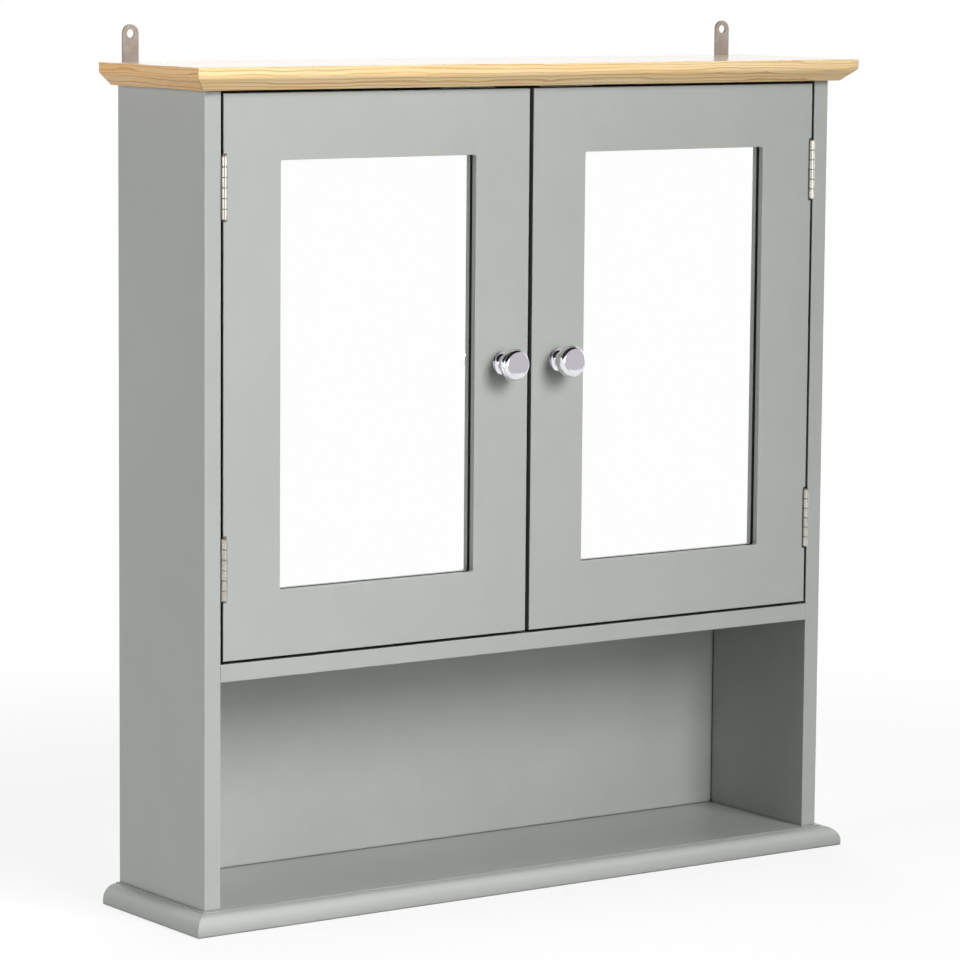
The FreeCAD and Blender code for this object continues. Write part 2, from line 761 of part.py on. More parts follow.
def base_board():
    """The base board: a slab with a large round along its front and side edges, below a small step."""
    body = new_body("base_board_body")
    half = carcass_half + d.base_side_overhang
    board_front = front - d.base_front_overhang
    slab = d.base_thickness - d.base_quirk
    pad(body, "XY_Plane", [rectangle(-half, half, board_front, back)], slab, offset=base_bottom)
    shoulder = base_top - d.base_quirk
    soften(body, lambda edge: level(edge, "Z", shoulder) and not level(edge, "Y", back), d.base_round)
    soften(body, lambda edge: level(edge, "Z", base_bottom) and not level(edge, "Y", back), 1.0)
    flat_half = half - d.base_round
    flat_front = board_front + d.base_round
    pad(body, "XY_Plane", [rectangle(-flat_half, flat_half, flat_front, back)], d.base_quirk,
        offset=shoulder)
    return cut("base_board", body, [
        two_sided("base_dowel_holes", copies("base_dowel_hole", peg_hole, dowel_places[1:2])),
        two_sided("base_holes", copies("base_hole", base_screw_hole, base_screw_places)),
    ])


def side_panel():
    """The right side panel, with a rebate for the back panel along its inner rear corner."""
    body = new_body("side_panel_body")
    rebate = d.back_thickness + d.rebate_slack
    plan = [
        (inner_half, front),
        (carcass_half, front),
        (carcass_half, back),
        (inner_half + d.rebate_width, back),
        (inner_half + d.rebate_width, back - rebate),
        (inner_half, back - rebate),
    ]
    pad(body, "XY_Plane", [plan], side_height, offset=base_top)
    soften(body, lambda edge: level(edge, "Y", front) and edge.Length > d.side_thickness.value + 1,
           d.arris)
    return cut("right_side_panel", body, [
        copies("side_bolt_hole", bolt_hole, bolt_places),
        copies("side_cam_hole", cam_in_side_hole, side_cam_places),
        copies("side_dowel_hole", peg_hole, dowel_places),
        copies("side_base_hole", base_screw_hole, base_screw_places),
        copies("side_shelf_hole", shelf_peg_hole, shelf_hole_places),
        copies("side_hinge_hole", hinge_screw_hole, fixed_leaf_screw_places),
        copies("side_pin_hole", back_pin_hole, back_pin_side_places),
    ])


def divider_shelf():
    """The fixed shelf between the open space and the cupboard."""
    body = new_body("divider_body")
    pad(body, "XY_Plane", [rectangle(-inner_half, inner_half, front, back_face)],
        d.divider_thickness, offset=divider_bottom)
    soften(body, lambda edge: level(edge, "Y", front) and edge.Length > d.divider_thickness.value + 1,
           d.arris)
    return cut("divider_shelf", body, [
        two_sided("divider_bolts", copies("divider_bolt_hole", bolt_hole, bolt_places[2:])),
        two_sided("divider_cams", copies("divider_cam_hole", cam_in_divider_hole, divider_cam_places)),
        two_sided("divider_dowels", copies("divider_dowel_hole", peg_hole, dowel_places[2:])),
        copies("divider_pin_hole", back_pin_hole, back_pin_divider_places),
    ])


def back_panel():
    """The thin back panel, flush with the rear edges and pinned to the sides and the divider."""
    body = new_body("back_panel_body")
    low = base_top + d.back_slack
    high = top_bottom - d.back_slack
    pad(body, "XZ_Plane", [rectangle(-back_panel_half, back_panel_half, low, high)],
        d.back_thickness, offset=-back)
    return cut("back_panel", body, [
        two_sided("back_side_pin_holes", copies("back_side_hole", back_pin_hole, back_pin_side_places)),
        copies("back_divider_pin_holes", back_pin_hole, back_pin_divider_places),
    ])


def adjustable_shelf():
    """The loose shelf in the cupboard, which lies on four pins."""
    body = new_body("adjustable_shelf_body")
    half = inner_half - d.shelf_slack
    pad(body, "XY_Plane", [rectangle(-half, half, shelf_front, shelf_rear)], d.shelf_thickness,
        offset=shelf_bottom)
    soften(body, lambda edge: level(edge, "Y", shelf_front) and edge.Length > d.shelf_thickness.value + 1,
           d.arris)
    return body


node("top_board", top_board())
node("base_board", base_board())
both("side_panel", side_panel())
node("divider_shelf", divider_shelf())
node("back_panel", back_panel())
node("adjustable_shelf", adjustable_shelf())
node("shelf_pins", two_sided("shelf_pins", copies("shelf_pin_right", shelf_peg, shelf_pin_places)))
node("wooden_dowels", two_sided("wooden_dowels", copies("dowel_right", peg, dowel_places)))
node("cam_bolts", two_sided("cam_bolts", copies("cam_bolt_right", bolt, bolt_places)))
side_cams = copies("side_cam", cam_in_side, side_cam_places)
divider_cams = copies("divider_cam", cam_in_divider, divider_cam_places)
node("cam_locks", two_sided("cam_locks", group("cam_locks_right", [side_cams, divider_cams])))
node("base_screws", two_sided("base_screws", copies("base_screw_right", base_screw, base_screw_places)))
side_pins = two_sided("side_pins", copies("back_pin_side", back_pin, back_pin_side_places))
divider_pins = copies("back_pin_divider", back_pin, back_pin_divider_places)
node("back_panel_pins", group("back_panel_pins", [side_pins, divider_pins]))

# ---------------------------------------------------------------- hanging plates


def hanging_plate():
    """The right hanging plate: a foot on the rear edge of the top board and a tab with a hole."""
    body = new_body("hanging_plate_body")
    foot_half = d.plate_foot_width / 2
    tab_half = d.plate_tab_width / 2
    foot_bottom = plate_foot_top - d.plate_foot_height
    shoulder = plate_foot_top - d.plate_shoulder
    outline = [
        (-foot_half, foot_bottom),
        (foot_half, foot_bottom),
        (foot_half, shoulder),
        (tab_half, plate_foot_top),
        (tab_half, 0),
        (-tab_half, 0),
        (-tab_half, plate_foot_top),
        (-foot_half, shoulder),
    ]
    pad(body, "XZ_Plane", [outline], d.plate_thickness)
    tip = new_sketch(body, "XZ_Plane", 0)
    draw_circle(tip, (0, 0), tab_half)
    feature(body, "Pad", tip, d.plate_thickness)
    eye = new_sketch(body, "XZ_Plane", 0)
    draw_circle(eye, (0, 0), d.hanging_hole_radius)
    feature(body, "Pocket", eye, 2 * d.plate_thickness, Midplane=True)
    place(body, (hanging_half, 0, 0))
    return cut("right_hanging_plate", body, [
        copies("plate_screw_clearance", plate_screw_hole, plate_screw_places),
    ])


both("hanging_plate", hanging_plate())
plate_screws = copies("plate_screw_right", plate_screw, plate_screw_places)
node("hanging_plate_screws", two_sided("hanging_plate_screws", plate_screws))

# ---------------------------------------------------------------- magnetic catches


def catch_housing():
    """The right catch housing: a block with two thin ears and a pocket for the magnet."""
    body = new_body("catch_housing_body")
    ears = d.catch_width / 2
    block = d.catch_block_width / 2
    rear = catch_front + d.catch_depth
    pad(body, "XY_Plane", [rectangle(-ears, ears, catch_front, rear)], d.catch_ear_height,
        offset=top_bottom - d.catch_ear_height)
    pad(body, "XY_Plane", [rectangle(-block, block, catch_front, rear)], d.catch_height,
        offset=catch_bottom)
    soften(body, lambda edge: edge.BoundBox.XLength < 0.01 and edge.BoundBox.YLength < 0.01, 1.2)
    hollow = block - d.catch_wall
    pocket(body, "XZ_Plane", [rectangle(-hollow, hollow, pole_bottom, pole_top)],
           d.catch_depth - d.catch_wall, offset=-catch_front)
    place(body, (d.catch_offset, 0, 0))
    return cut("right_catch_housing", body, [
        copies("catch_ear_hole", catch_screw_hole, catch_screw_places),
    ])


def pole_plates():
    """The steel plates above and below the right magnet, standing a little out of the housing."""
    width = d.catch_block_width - 2 * d.catch_wall - 2 * d.fastener_fit
    depth = d.pole_proud + d.catch_depth - d.catch_wall - d.fastener_fit
    thick = d.pole_thickness - d.fastener_fit
    start = catch_front - d.pole_proud
    left_edge = d.catch_offset - width / 2
    levels = (pole_bottom, pole_top - thick)
    return group("right_pole_plates", [
        box(f"pole_plate_{number}", (width, depth, thick), (left_edge, start, bottom))
        for number, bottom in enumerate(levels, start=1)
    ])


def magnet():
    """The right magnet, between its pole plates."""
    width = d.catch_block_width - 2 * d.catch_wall - 2 * d.fastener_fit
    depth = d.catch_depth - d.catch_wall - d.magnet_setback - d.fastener_fit
    start = catch_front + d.magnet_setback
    corner = (d.catch_offset - width / 2, start, pole_bottom + d.pole_thickness)
    return box("right_magnet", (width, depth, d.magnet_height), corner)


def strike_plate():
    """The right strike plate, screwed to the back of the door."""
    body = new_body("strike_plate_body")
    half = d.strike_width / 2
    low = pole_middle - d.strike_height / 2
    outline = rectangle(-half, half, low, low + d.strike_height)
    pad(body, "XZ_Plane", [outline], d.strike_thickness, offset=-door_rear, reverse=True)
    soften(body, lambda edge: edge.BoundBox.XLength < 0.01 and edge.BoundBox.ZLength < 0.01, 2.0)
    place(body, (d.catch_offset, 0, 0))
    return cut("right_strike_plate", body, [
        copies("strike_screw_clearance", catch_screw_hole, strike_screw_places),
    ])


both("catch_housing", catch_housing())
both("catch_magnet", magnet())
node("catch_pole_plates", two_sided("catch_pole_plates", pole_plates()))
node("catch_screws", two_sided("catch_screws", copies("catch_screw_right", catch_screw, catch_screw_places)))
both("strike_plate", strike_plate())
both("strike_screws", copies("right_strike_screws", catch_screw, strike_screw_places))

# ---------------------------------------------------------------- butt hinges


def knuckle_span(number, inset):
    """Lowest and highest level of one knuckle, counted from the top, on a barrel centred on zero."""
    high = barrel_length / 2 - number * d.knuckle_height
    return high - d.knuckle_height + inset, high - inset


def knuckle_outline(number):
    """Half outline of one knuckle, solid and with bevelled ends."""
    low, high = knuckle_span(number, d.knuckle_slack / 2)
    radius = d.knuckle_radius
    end_radius = radius - d.knuckle_bevel
    return [
        (0, low),
        (end_radius, low),
        (radius, low + d.knuckle_bevel),
        (radius, high - d.knuckle_bevel),
        (end_radius, high),
        (0, high),
    ]


def hinge_leaf(name, upright, own, plate_from, screw_places, along):
    """A right-hand leaf on the hinge axis: a plate, its own knuckles, and notches for the others."""
    body = new_body(f"{name}_body")
    plate = rectangle(plate_from, plate_from + d.leaf_thickness, 0, leaf_reach)
    pad(body, "XY_Plane", [plate], barrel_length, offset=-barrel_length / 2)
    others = [number for number in range(knuckle_count) if number not in own]
    notch = d.knuckle_radius + d.knuckle_slack
    turned(body, "Groove", [rectangle(0, notch, *knuckle_span(number, 0)) for number in others])
    turned(body, "Revolution", [knuckle_outline(number) for number in own])
    bore = d.hinge_pin_radius + d.fastener_fit
    turned(body, "Groove", [rectangle(0, bore, -barrel_length, barrel_length)])
    place(body, (hinge_x, hinge_y, upright))
    return cut(name, body, [copies(f"{name}_screw_hole", hinge_screw_hole, screw_places)])


def hinge_pin(name, upright):
    """A hinge pin with a small rounded head at each end."""
    cap = 0.6
    half = barrel_length / 2
    radius = d.hinge_pin_radius
    body = lathe(name, [
        (0, -half - cap),
        (radius, -half - cap),
        (1.6 * radius, -half - cap / 3),
        (1.6 * radius, -half),
        (radius, -half),
        (radius, half),
        (1.6 * radius, half),
        (1.6 * radius, half + cap / 3),
        (radius, half + cap),
        (0, half + cap),
    ])
    return place(body, (hinge_x, hinge_y, upright))


odd_knuckles = (0, 2, 4)
even_knuckles = (1, 3, 5)
fixed_plate_from = d.barrel_in - d.leaf_thickness
door_plate_from = d.barrel_in - d.door_gap_side
for number, (position, upright) in enumerate(hinge_levels.items()):
    fixed_places = fixed_leaf_screw_places[2 * number:2 * number + 2]
    door_places = door_leaf_screw_places[2 * number:2 * number + 2]
    pin = hinge_pin(f"right_{position}_hinge_pin", upright)
    both(f"{position}_hinge_pin", pin)
    for leaf, places, start, right_own, left_own, along in (
        ("fixed_leaf", fixed_places, fixed_plate_from, odd_knuckles, even_knuckles, "-X"),
        ("door_leaf", door_places, door_plate_from, even_knuckles, odd_knuckles, "+X"),
    ):
        label = f"{position}_{leaf}"
        node(f"right_{label}", hinge_leaf(f"right_{label}", upright, right_own, start, places, along))
        twin = hinge_leaf(f"twin_{label}", upright, left_own, start, places, along)
        node(f"left_{label}", mirror(f"left_{label}", twin))

fixed_screws = copies("fixed_leaf_screw_right", hinge_screw, fixed_leaf_screw_places)
node("fixed_leaf_screws", two_sided("fixed_leaf_screws", fixed_screws))
both("door_leaf_screws", copies("right_door_leaf_screws", hinge_screw, door_leaf_screw_places))

# ---------------------------------------------------------------- doors

mirror_half_width = opening_width / 2 + d.mirror_rebate - d.mirror_slack
mirror_half_height = opening_height / 2 + d.mirror_rebate - d.mirror_slack
bead_outer_width = opening_width / 2 + d.mirror_rebate - d.bead_slack
bead_outer_height = opening_height / 2 + d.mirror_rebate - d.bead_slack
bead_middle = bead_front + bead_depth / 2
bead_pin_places = []
for turn in (-1, 1):
    x_share = door_centre + turn * opening_width / 4
    z_share = door_middle + turn * opening_height / 4
    bead_pin_places += [
        (x_share, bead_middle, door_middle + opening_height / 2, "-Z"),
        (x_share, bead_middle, door_middle - opening_height / 2, "+Z"),
        (door_centre + opening_width / 2, bead_middle, z_share, "-X"),
        (door_centre - opening_width / 2, bead_middle, z_share, "+X"),
    ]
knob_screw_place = (knob_centre, door_rear, door_middle, "+Y")


def door_frame():
    """The right door frame: softened edges, an opening, a rebate behind it and a notch per hinge."""
    body = new_body("door_frame_body")
    half_width = door_width / 2
    half_height = door_height / 2
    open_x = opening_width / 2
    open_z = opening_height / 2
    pad(body, "XZ_Plane", [rectangle(-half_width, half_width, -half_height, half_height)],
        d.door_thickness, reverse=True)
    pocket(body, "XZ_Plane", [rectangle(-open_x, open_x, -open_z, open_z)], d.door_thickness)
    soften(body, lambda edge: edge.BoundBox.XLength < 0.01 and edge.BoundBox.ZLength < 0.01
           and abs(edge.BoundBox.XMax) < half_width.value - 1, d.door_corner)
    rebate_x = open_x + d.mirror_rebate
    rebate_z = open_z + d.mirror_rebate
    pocket(body, "XZ_Plane", [rectangle(-rebate_x, rebate_x, -rebate_z, rebate_z)],
           d.door_thickness - d.door_lip, offset=-d.door_lip)
    soften(body, lambda edge: level(edge, "Y", 0), d.arris)
    place(body, (door_centre, front, door_middle))
    notches = []
    notch_length = barrel_length + 2 * d.barrel_end_slack
    for position, upright in hinge_levels.items():
        start = (hinge_x, hinge_y, upright - notch_length / 2)
        notches.append(cylinder(f"{position}_notch", d.knuckle_radius + d.barrel_slack, notch_length, start))
    return cut("right_door_frame", body, notches + [
        copies("frame_hinge_hole", hinge_screw_hole, door_leaf_screw_places),
        copies("frame_knob_hole", knob_screw_hole, [knob_screw_place]),
        copies("frame_strike_hole", catch_screw_hole, strike_screw_places),
        copies("frame_bead_hole", bead_pin_hole, bead_pin_places),
    ])


def sheet_behind(name, start, thickness):
    """A flat sheet in the door's rebate."""
    body = new_body(name)
    outline = rectangle(-mirror_half_width, mirror_half_width, -mirror_half_height, mirror_half_height)
    pad(body, "XZ_Plane", [outline], thickness, reverse=True)
    return place(body, (door_centre, start, door_middle))


def mirror_beads():
    """Four mitred beads that hold the mirror and its backing in the right door."""
    outer = rectangle(-bead_outer_width, bead_outer_width, -bead_outer_height, bead_outer_height)
    open_x = opening_width / 2
    open_z = opening_height / 2
    inner = rectangle(-open_x, open_x, -open_z, open_z)
    strips = []
    for number in range(4):
        following = (number + 1) % 4
        body = new_body(f"bead_{number + 1}")
        outline = [outer[number], outer[following], inner[following], inner[number]]
        pad(body, "XZ_Plane", [outline], bead_depth, reverse=True)
        strips.append(place(body, (door_centre, bead_front, door_middle)))
    return cut("right_mirror_beads", group("bead_strips", strips), [
        copies("bead_hole", bead_pin_hole, bead_pin_places),
    ])


def knob():
    """The right knob: a round foot, a slim neck and a flattened ball, bored for its screw."""
    body = new_body("right_knob")
    neck_end = d.knob_length - d.knob_head_length - 1.6
    rim_from = d.knob_length - 0.66 * d.knob_head_length
    rim_to = d.knob_length - 0.4 * d.knob_head_length
    turned(body, "Revolution", [[
        (0, 0),
        (d.knob_rose_radius, 0),
        (d.knob_rose_radius, d.knob_foot_height),
        (d.knob_neck_radius, d.knob_neck_start),
        (d.knob_neck_radius, neck_end),
        (d.knob_head_radius, rim_from),
        (d.knob_head_radius, rim_to),
        (d.knob_face_radius, d.knob_length),
        (0, d.knob_length),
    ]])
    for height, radius in ((d.knob_foot_height, 0.6), (d.knob_neck_start, 2.4), (neck_end, 2.0),
                           (rim_from, 1.6), (rim_to, 1.6), (d.knob_length, 1.6)):
        soften(body, lambda edge: level(edge, "Z", height) and edge.Length > 1.0, radius)
    bore = d.knob_screw_radius + d.fastener_fit
    turned(body, "Groove", [rectangle(0, bore, 0, d.knob_screw_grip + 0.5)])
    return place(body, (knob_centre, front, door_middle), TURNS["-Y"])


both("door_frame", door_frame())
both("mirror", sheet_behind("right_mirror", mirror_front, d.mirror_thickness))
both("mirror_backing", sheet_behind("right_mirror_backing", backing_front, d.backing_thickness))
both("mirror_beads", mirror_beads())
both("bead_pins", copies("right_bead_pins", bead_pin, bead_pin_places))
both("knob", knob())
both("knob_screw", copies("right_knob_screw", knob_screw, [knob_screw_place]))

# ---------------------------------------------------------------- check and write

doc.recompute()
for item in doc.Objects:
    if "Invalid" in item.State or "Error" in item.State:
        raise RuntimeError(f"{item.Name} failed: {item.State}")
os.makedirs("parts", exist_ok=True)
for name, item in nodes.items():
    shape = item.Shape
    if shape.isNull() or not shape.isValid() or not shape.Solids:
        raise RuntimeError(f"{name} has no valid solid")
    shape.exportStep(f"parts/{name}.step")
print(f"{len(nodes)} sub-parts, {sum(len(item.Shape.Solids) for item in nodes.values())} solids")
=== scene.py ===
"""A hanging wall cabinet: its finishes, hardware, floor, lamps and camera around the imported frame."""
import json
import math

import bmesh
import bpy
from mathutils import Matrix, Vector


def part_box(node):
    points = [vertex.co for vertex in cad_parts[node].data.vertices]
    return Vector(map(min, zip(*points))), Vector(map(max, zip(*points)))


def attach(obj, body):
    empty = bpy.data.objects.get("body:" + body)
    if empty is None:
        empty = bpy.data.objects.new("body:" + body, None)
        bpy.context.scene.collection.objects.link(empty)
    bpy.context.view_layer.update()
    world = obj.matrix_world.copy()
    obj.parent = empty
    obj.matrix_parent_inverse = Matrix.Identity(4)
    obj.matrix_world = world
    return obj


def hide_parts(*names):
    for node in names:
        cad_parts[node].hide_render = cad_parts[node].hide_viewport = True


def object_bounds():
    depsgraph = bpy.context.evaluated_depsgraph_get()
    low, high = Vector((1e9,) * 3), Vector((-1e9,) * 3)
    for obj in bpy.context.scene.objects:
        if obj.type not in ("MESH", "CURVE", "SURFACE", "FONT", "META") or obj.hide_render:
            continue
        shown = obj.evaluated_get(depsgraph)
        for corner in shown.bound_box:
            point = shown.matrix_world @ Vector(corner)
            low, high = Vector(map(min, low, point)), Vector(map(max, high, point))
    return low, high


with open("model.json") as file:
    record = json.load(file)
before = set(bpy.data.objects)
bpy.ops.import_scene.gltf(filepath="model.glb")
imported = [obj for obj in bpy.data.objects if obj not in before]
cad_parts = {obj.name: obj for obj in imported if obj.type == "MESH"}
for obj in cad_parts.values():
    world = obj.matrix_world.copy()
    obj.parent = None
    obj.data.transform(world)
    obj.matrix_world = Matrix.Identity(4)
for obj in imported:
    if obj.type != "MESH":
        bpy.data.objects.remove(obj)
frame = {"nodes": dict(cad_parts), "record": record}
cad_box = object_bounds()
MM = 0.001
SAME_PLACE = 0.001 * MM
WHITE = (1.0, 1.0, 1.0, 1.0)
OPEN_ENOUGH = 0.72


# ---------------------------------------------------------------- node trees

class Wire:
    """A socket of a node tree. Arithmetic on it adds Math nodes to that tree."""

    def __init__(self, tree, socket):
        self.tree = tree
        self.socket = socket

    def math(self, operation, first, second=0.0):
        return self.tree.node("ShaderNodeMath", {"operation": operation}, {0: first, 1: second})

    def __add__(self, other):
        return self.math("ADD", self, other)

    __radd__ = __add__

    def __sub__(self, other):
        return self.math("SUBTRACT", self, other)

    def __rsub__(self, other):
        return self.math("SUBTRACT", other, self)

    def __mul__(self, other):
        return self.math("MULTIPLY", self, other)

    def __truediv__(self, other):
        return self.math("DIVIDE", self, other)

    def __neg__(self):
        return self.math("MULTIPLY", self, -1.0)

    def __abs__(self):
        return self.math("ABSOLUTE", self)

    def __gt__(self, other):
        return self.math("GREATER_THAN", self, other)

    def highest(self, other):
        return self.math("MAXIMUM", self, other)

    def fraction(self):
        return self.math("FRACT", self)

    def between(self, low, high):
        """0 below low, 1 above high, with a soft ramp between them."""
        settings = {"interpolation_type": "SMOOTHSTEP"}
        return self.tree.node("ShaderNodeMapRange", settings, {0: self, 1: low, 2: high})


class Tree:
    """A material's, the world's or a modifier's node tree."""

    def __init__(self, data):
        self.data = data

    def node(self, kind, settings=None, sockets=None, output=0):
        """Adds a node with its settings and its sockets' values and links. Gives one output, or none."""
        made = self.data.nodes.new(kind)
        for name, value in (settings or {}).items():
            if name == "index_count":
                while len(made.index_switch_items) < value:
                    made.index_switch_items.new()
            else:
                setattr(made, name, value)
        for name, value in (sockets or {}).items():
            wires = value if isinstance(value, list) else [value]
            if isinstance(wires[0], Wire):
                for wire in reversed(wires):
                    self.data.links.new(wire.socket, made.inputs[name])
            else:
                made.inputs[name].default_value = value
        return None if output is None else Wire(self, made.outputs[output])

    def mix(self, amount, first, second, blend="MIX"):
        """Two colours mixed by an amount."""
        settings = {"data_type": "RGBA", "blend_type": blend}
        return self.node("ShaderNodeMix", settings, {0: amount, 6: first, 7: second}, output=2)

    def vector(self, operation, first, second):
        return self.node("ShaderNodeVectorMath", {"operation": operation}, {0: first, 1: second})

    def joined(self, x, y, z):
        return self.node("ShaderNodeCombineXYZ", None, {0: x, 1: y, 2: z})

    def part(self, vector, axis):
        return self.node("ShaderNodeSeparateXYZ", None, {0: vector}, output="XYZ".index(axis))

    def noise(self, place, scale, detail=2.0, roughness=0.5, stretch=None):
        """Noise from about 0 to 1 over a place, which a stretch can draw out along an axis."""
        if stretch:
            place = self.vector("MULTIPLY", place, stretch)
        sockets = {"Vector": place, "Scale": scale, "Detail": detail, "Roughness": roughness}
        return self.node("ShaderNodeTexNoise", None, sockets)


def tone(*screen):
    """A colour given as it looks on a screen, 11 to 255, as the linear colour that a shader takes."""
    return (*[((level / 255 + 0.055) / 1.055) ** 2.4 for level in screen], 1.0)


class Finish(Tree):
    """The material of one slot: a Principled surface and the tree that feeds it."""

    def __init__(self, name, **surface):
        self.material = bpy.data.materials.new(name)
        self.material.use_nodes = True
        super().__init__(self.material.node_tree)
        self.data.nodes.clear()
        self.surface = self.data.nodes.new("ShaderNodeBsdfPrincipled")
        self.node("ShaderNodeOutputMaterial", None, {"Surface": Wire(self, self.surface.outputs[0])}, None)
        self.place = self.node("ShaderNodeTexCoord", output="Object")
        self.feed(**surface)

    def feed(self, **sockets):
        """Sets or links sockets of the surface; base_color is Base Color, and so on."""
        for name, value in sockets.items():
            socket = self.surface.inputs[name.replace("_", " ").title().replace("Ior", "IOR")]
            if isinstance(value, Wire):
                self.data.links.new(value.socket, socket)
            else:
                socket.default_value = value

    def bump(self, height, distance):
        """Relief of a given depth in metres, as a normal."""
        return self.node("ShaderNodeBump", None, {"Height": height, "Distance": distance, "Strength": 1.0})

    def facing(self):
        """The surface's own direction."""
        return self.node("ShaderNodeTexCoord", output="Normal")

    def crevice_shade(self, reach, shut=0.12):
        """A painted-shade mask from ambient occlusion: 1 deep in a seam or a narrow gap, 0 on open surfaces;
        shut is the openness that counts as deep.
        """
        openness = self.node("ShaderNodeAmbientOcclusion", {"samples": 6}, {"Distance": reach}, output="AO")
        return openness.between(OPEN_ENOUGH, shut)

    def rounding(self):
        """1 along softened edges, 0 on the flat faces of a square-cut piece."""
        ways = [abs(self.part(self.facing(), axis)) for axis in "XYZ"]
        return 1.0 - ways[0].highest(ways[1]).highest(ways[2]).between(0.75, 0.99)


# ---------------------------------------------------------------- finishes

# painted highlight: the paler colour laid along rounded edges
PAINT_EDGE_HIGHLIGHT = tone(202, 204, 200)
# painted shade: the near-black colour laid into gaps, corners and recesses
PAINT_CREVICE_SHADE = tone(24, 24, 23)


def paint_layers(finish, dark, light, reach=6.0 * MM, shut=0.12):
    """The colour, roughness and relief of sprayed satin paint, with a painted highlight on edges and painted
    shade in crevices.
    """
    drift = finish.noise(finish.place, scale=7.0)
    cloud = finish.noise(finish.place, scale=38.0, detail=3.0, roughness=0.6)
    fleck = finish.noise(finish.place, scale=900.0)
    peel = finish.noise(finish.place, scale=420.0, roughness=0.55)
    amount = (drift * 0.55 + cloud * 0.35 + fleck * 0.1).between(0.3, 0.7)
    edge = finish.rounding()
    crevice_shade = finish.crevice_shade(reach, shut)
    # painted highlight along rounded edges
    colour = finish.mix(edge * 0.6, finish.mix(amount, dark, light), PAINT_EDGE_HIGHLIGHT)
    # painted shade in crevices and narrow gaps
    colour = finish.mix(crevice_shade * 0.94, colour, PAINT_CREVICE_SHADE)
    rough = 0.3 + cloud * 0.08 + fleck * 0.04 - edge * 0.06 + crevice_shade * 0.4
    return colour, rough, peel * 0.7 + fleck * 0.3


def sage_paint():
    """Sprayed satin sage-grey paint on smooth fibreboard."""
    finish = Finish("sage_paint", ior=1.5)
    colour, rough, relief = paint_layers(finish, tone(172, 175, 171), tone(177, 180, 176))
    finish.feed(base_color=colour, roughness=rough, normal=finish.bump(relief, 0.03 * MM))
    return finish.material


def hardboard_layers(finish):
    """Pressed brown fibre: short crossing fibres and darker specks."""
    fibre = finish.noise(finish.place, scale=300.0, detail=4.0, roughness=0.65, stretch=(1.0, 1.0, 0.35))
    cross = finish.noise(finish.place, scale=420.0, detail=3.0, roughness=0.6, stretch=(0.3, 1.0, 1.0))
    patch = finish.noise(finish.place, scale=14.0, detail=3.0)
    speck = finish.noise(finish.place, scale=1400.0, detail=1.0).between(0.62, 0.72)
    colour = finish.mix((fibre * 0.5 + cross * 0.3 + patch * 0.2).between(0.35, 0.65),
                        tone(128, 92, 62), tone(166, 126, 88))
    colour = finish.mix(speck * 0.6, colour, tone(92, 62, 42))
    return colour, 0.62 + fibre * 0.15, fibre * 0.6 + cross * 0.4


def painted_hardboard():
    """Thin hardboard: painted on the face that shows inside, bare and brown behind."""
    finish = Finish("painted_hardboard", ior=1.5)
    # stronger painted shade in the corners along the panel's edges
    colour, rough, relief = paint_layers(finish, tone(167, 170, 166), tone(174, 177, 173),
                                         reach=3.0 * MM, shut=0.5)
    bare_colour, bare_rough, bare_relief = hardboard_layers(finish)
    bare = finish.part(finish.facing(), "Y") > 0.5
    finish.feed(base_color=finish.mix(bare, colour, bare_colour),
                roughness=rough + bare * (bare_rough - rough),
                normal=finish.bump(relief + bare * (bare_relief - relief), 0.05 * MM))
    return finish.material


def brown_hardboard():
    """Bare hardboard behind the mirrors."""
    finish = Finish("brown_hardboard", ior=1.45)
    colour, rough, relief = hardboard_layers(finish)
    finish.feed(base_color=colour, roughness=rough, normal=finish.bump(relief, 0.08 * MM))
    return finish.material


RING_SPACING = 2.7 * MM
# painted shade: the board's ends darker and warmer than its front
END_SHADE_TINT = (0.95, 0.81, 0.67, 1.0)
SEAM_INNER, SEAM_OUTER = 0.15 * MM, 0.5 * MM


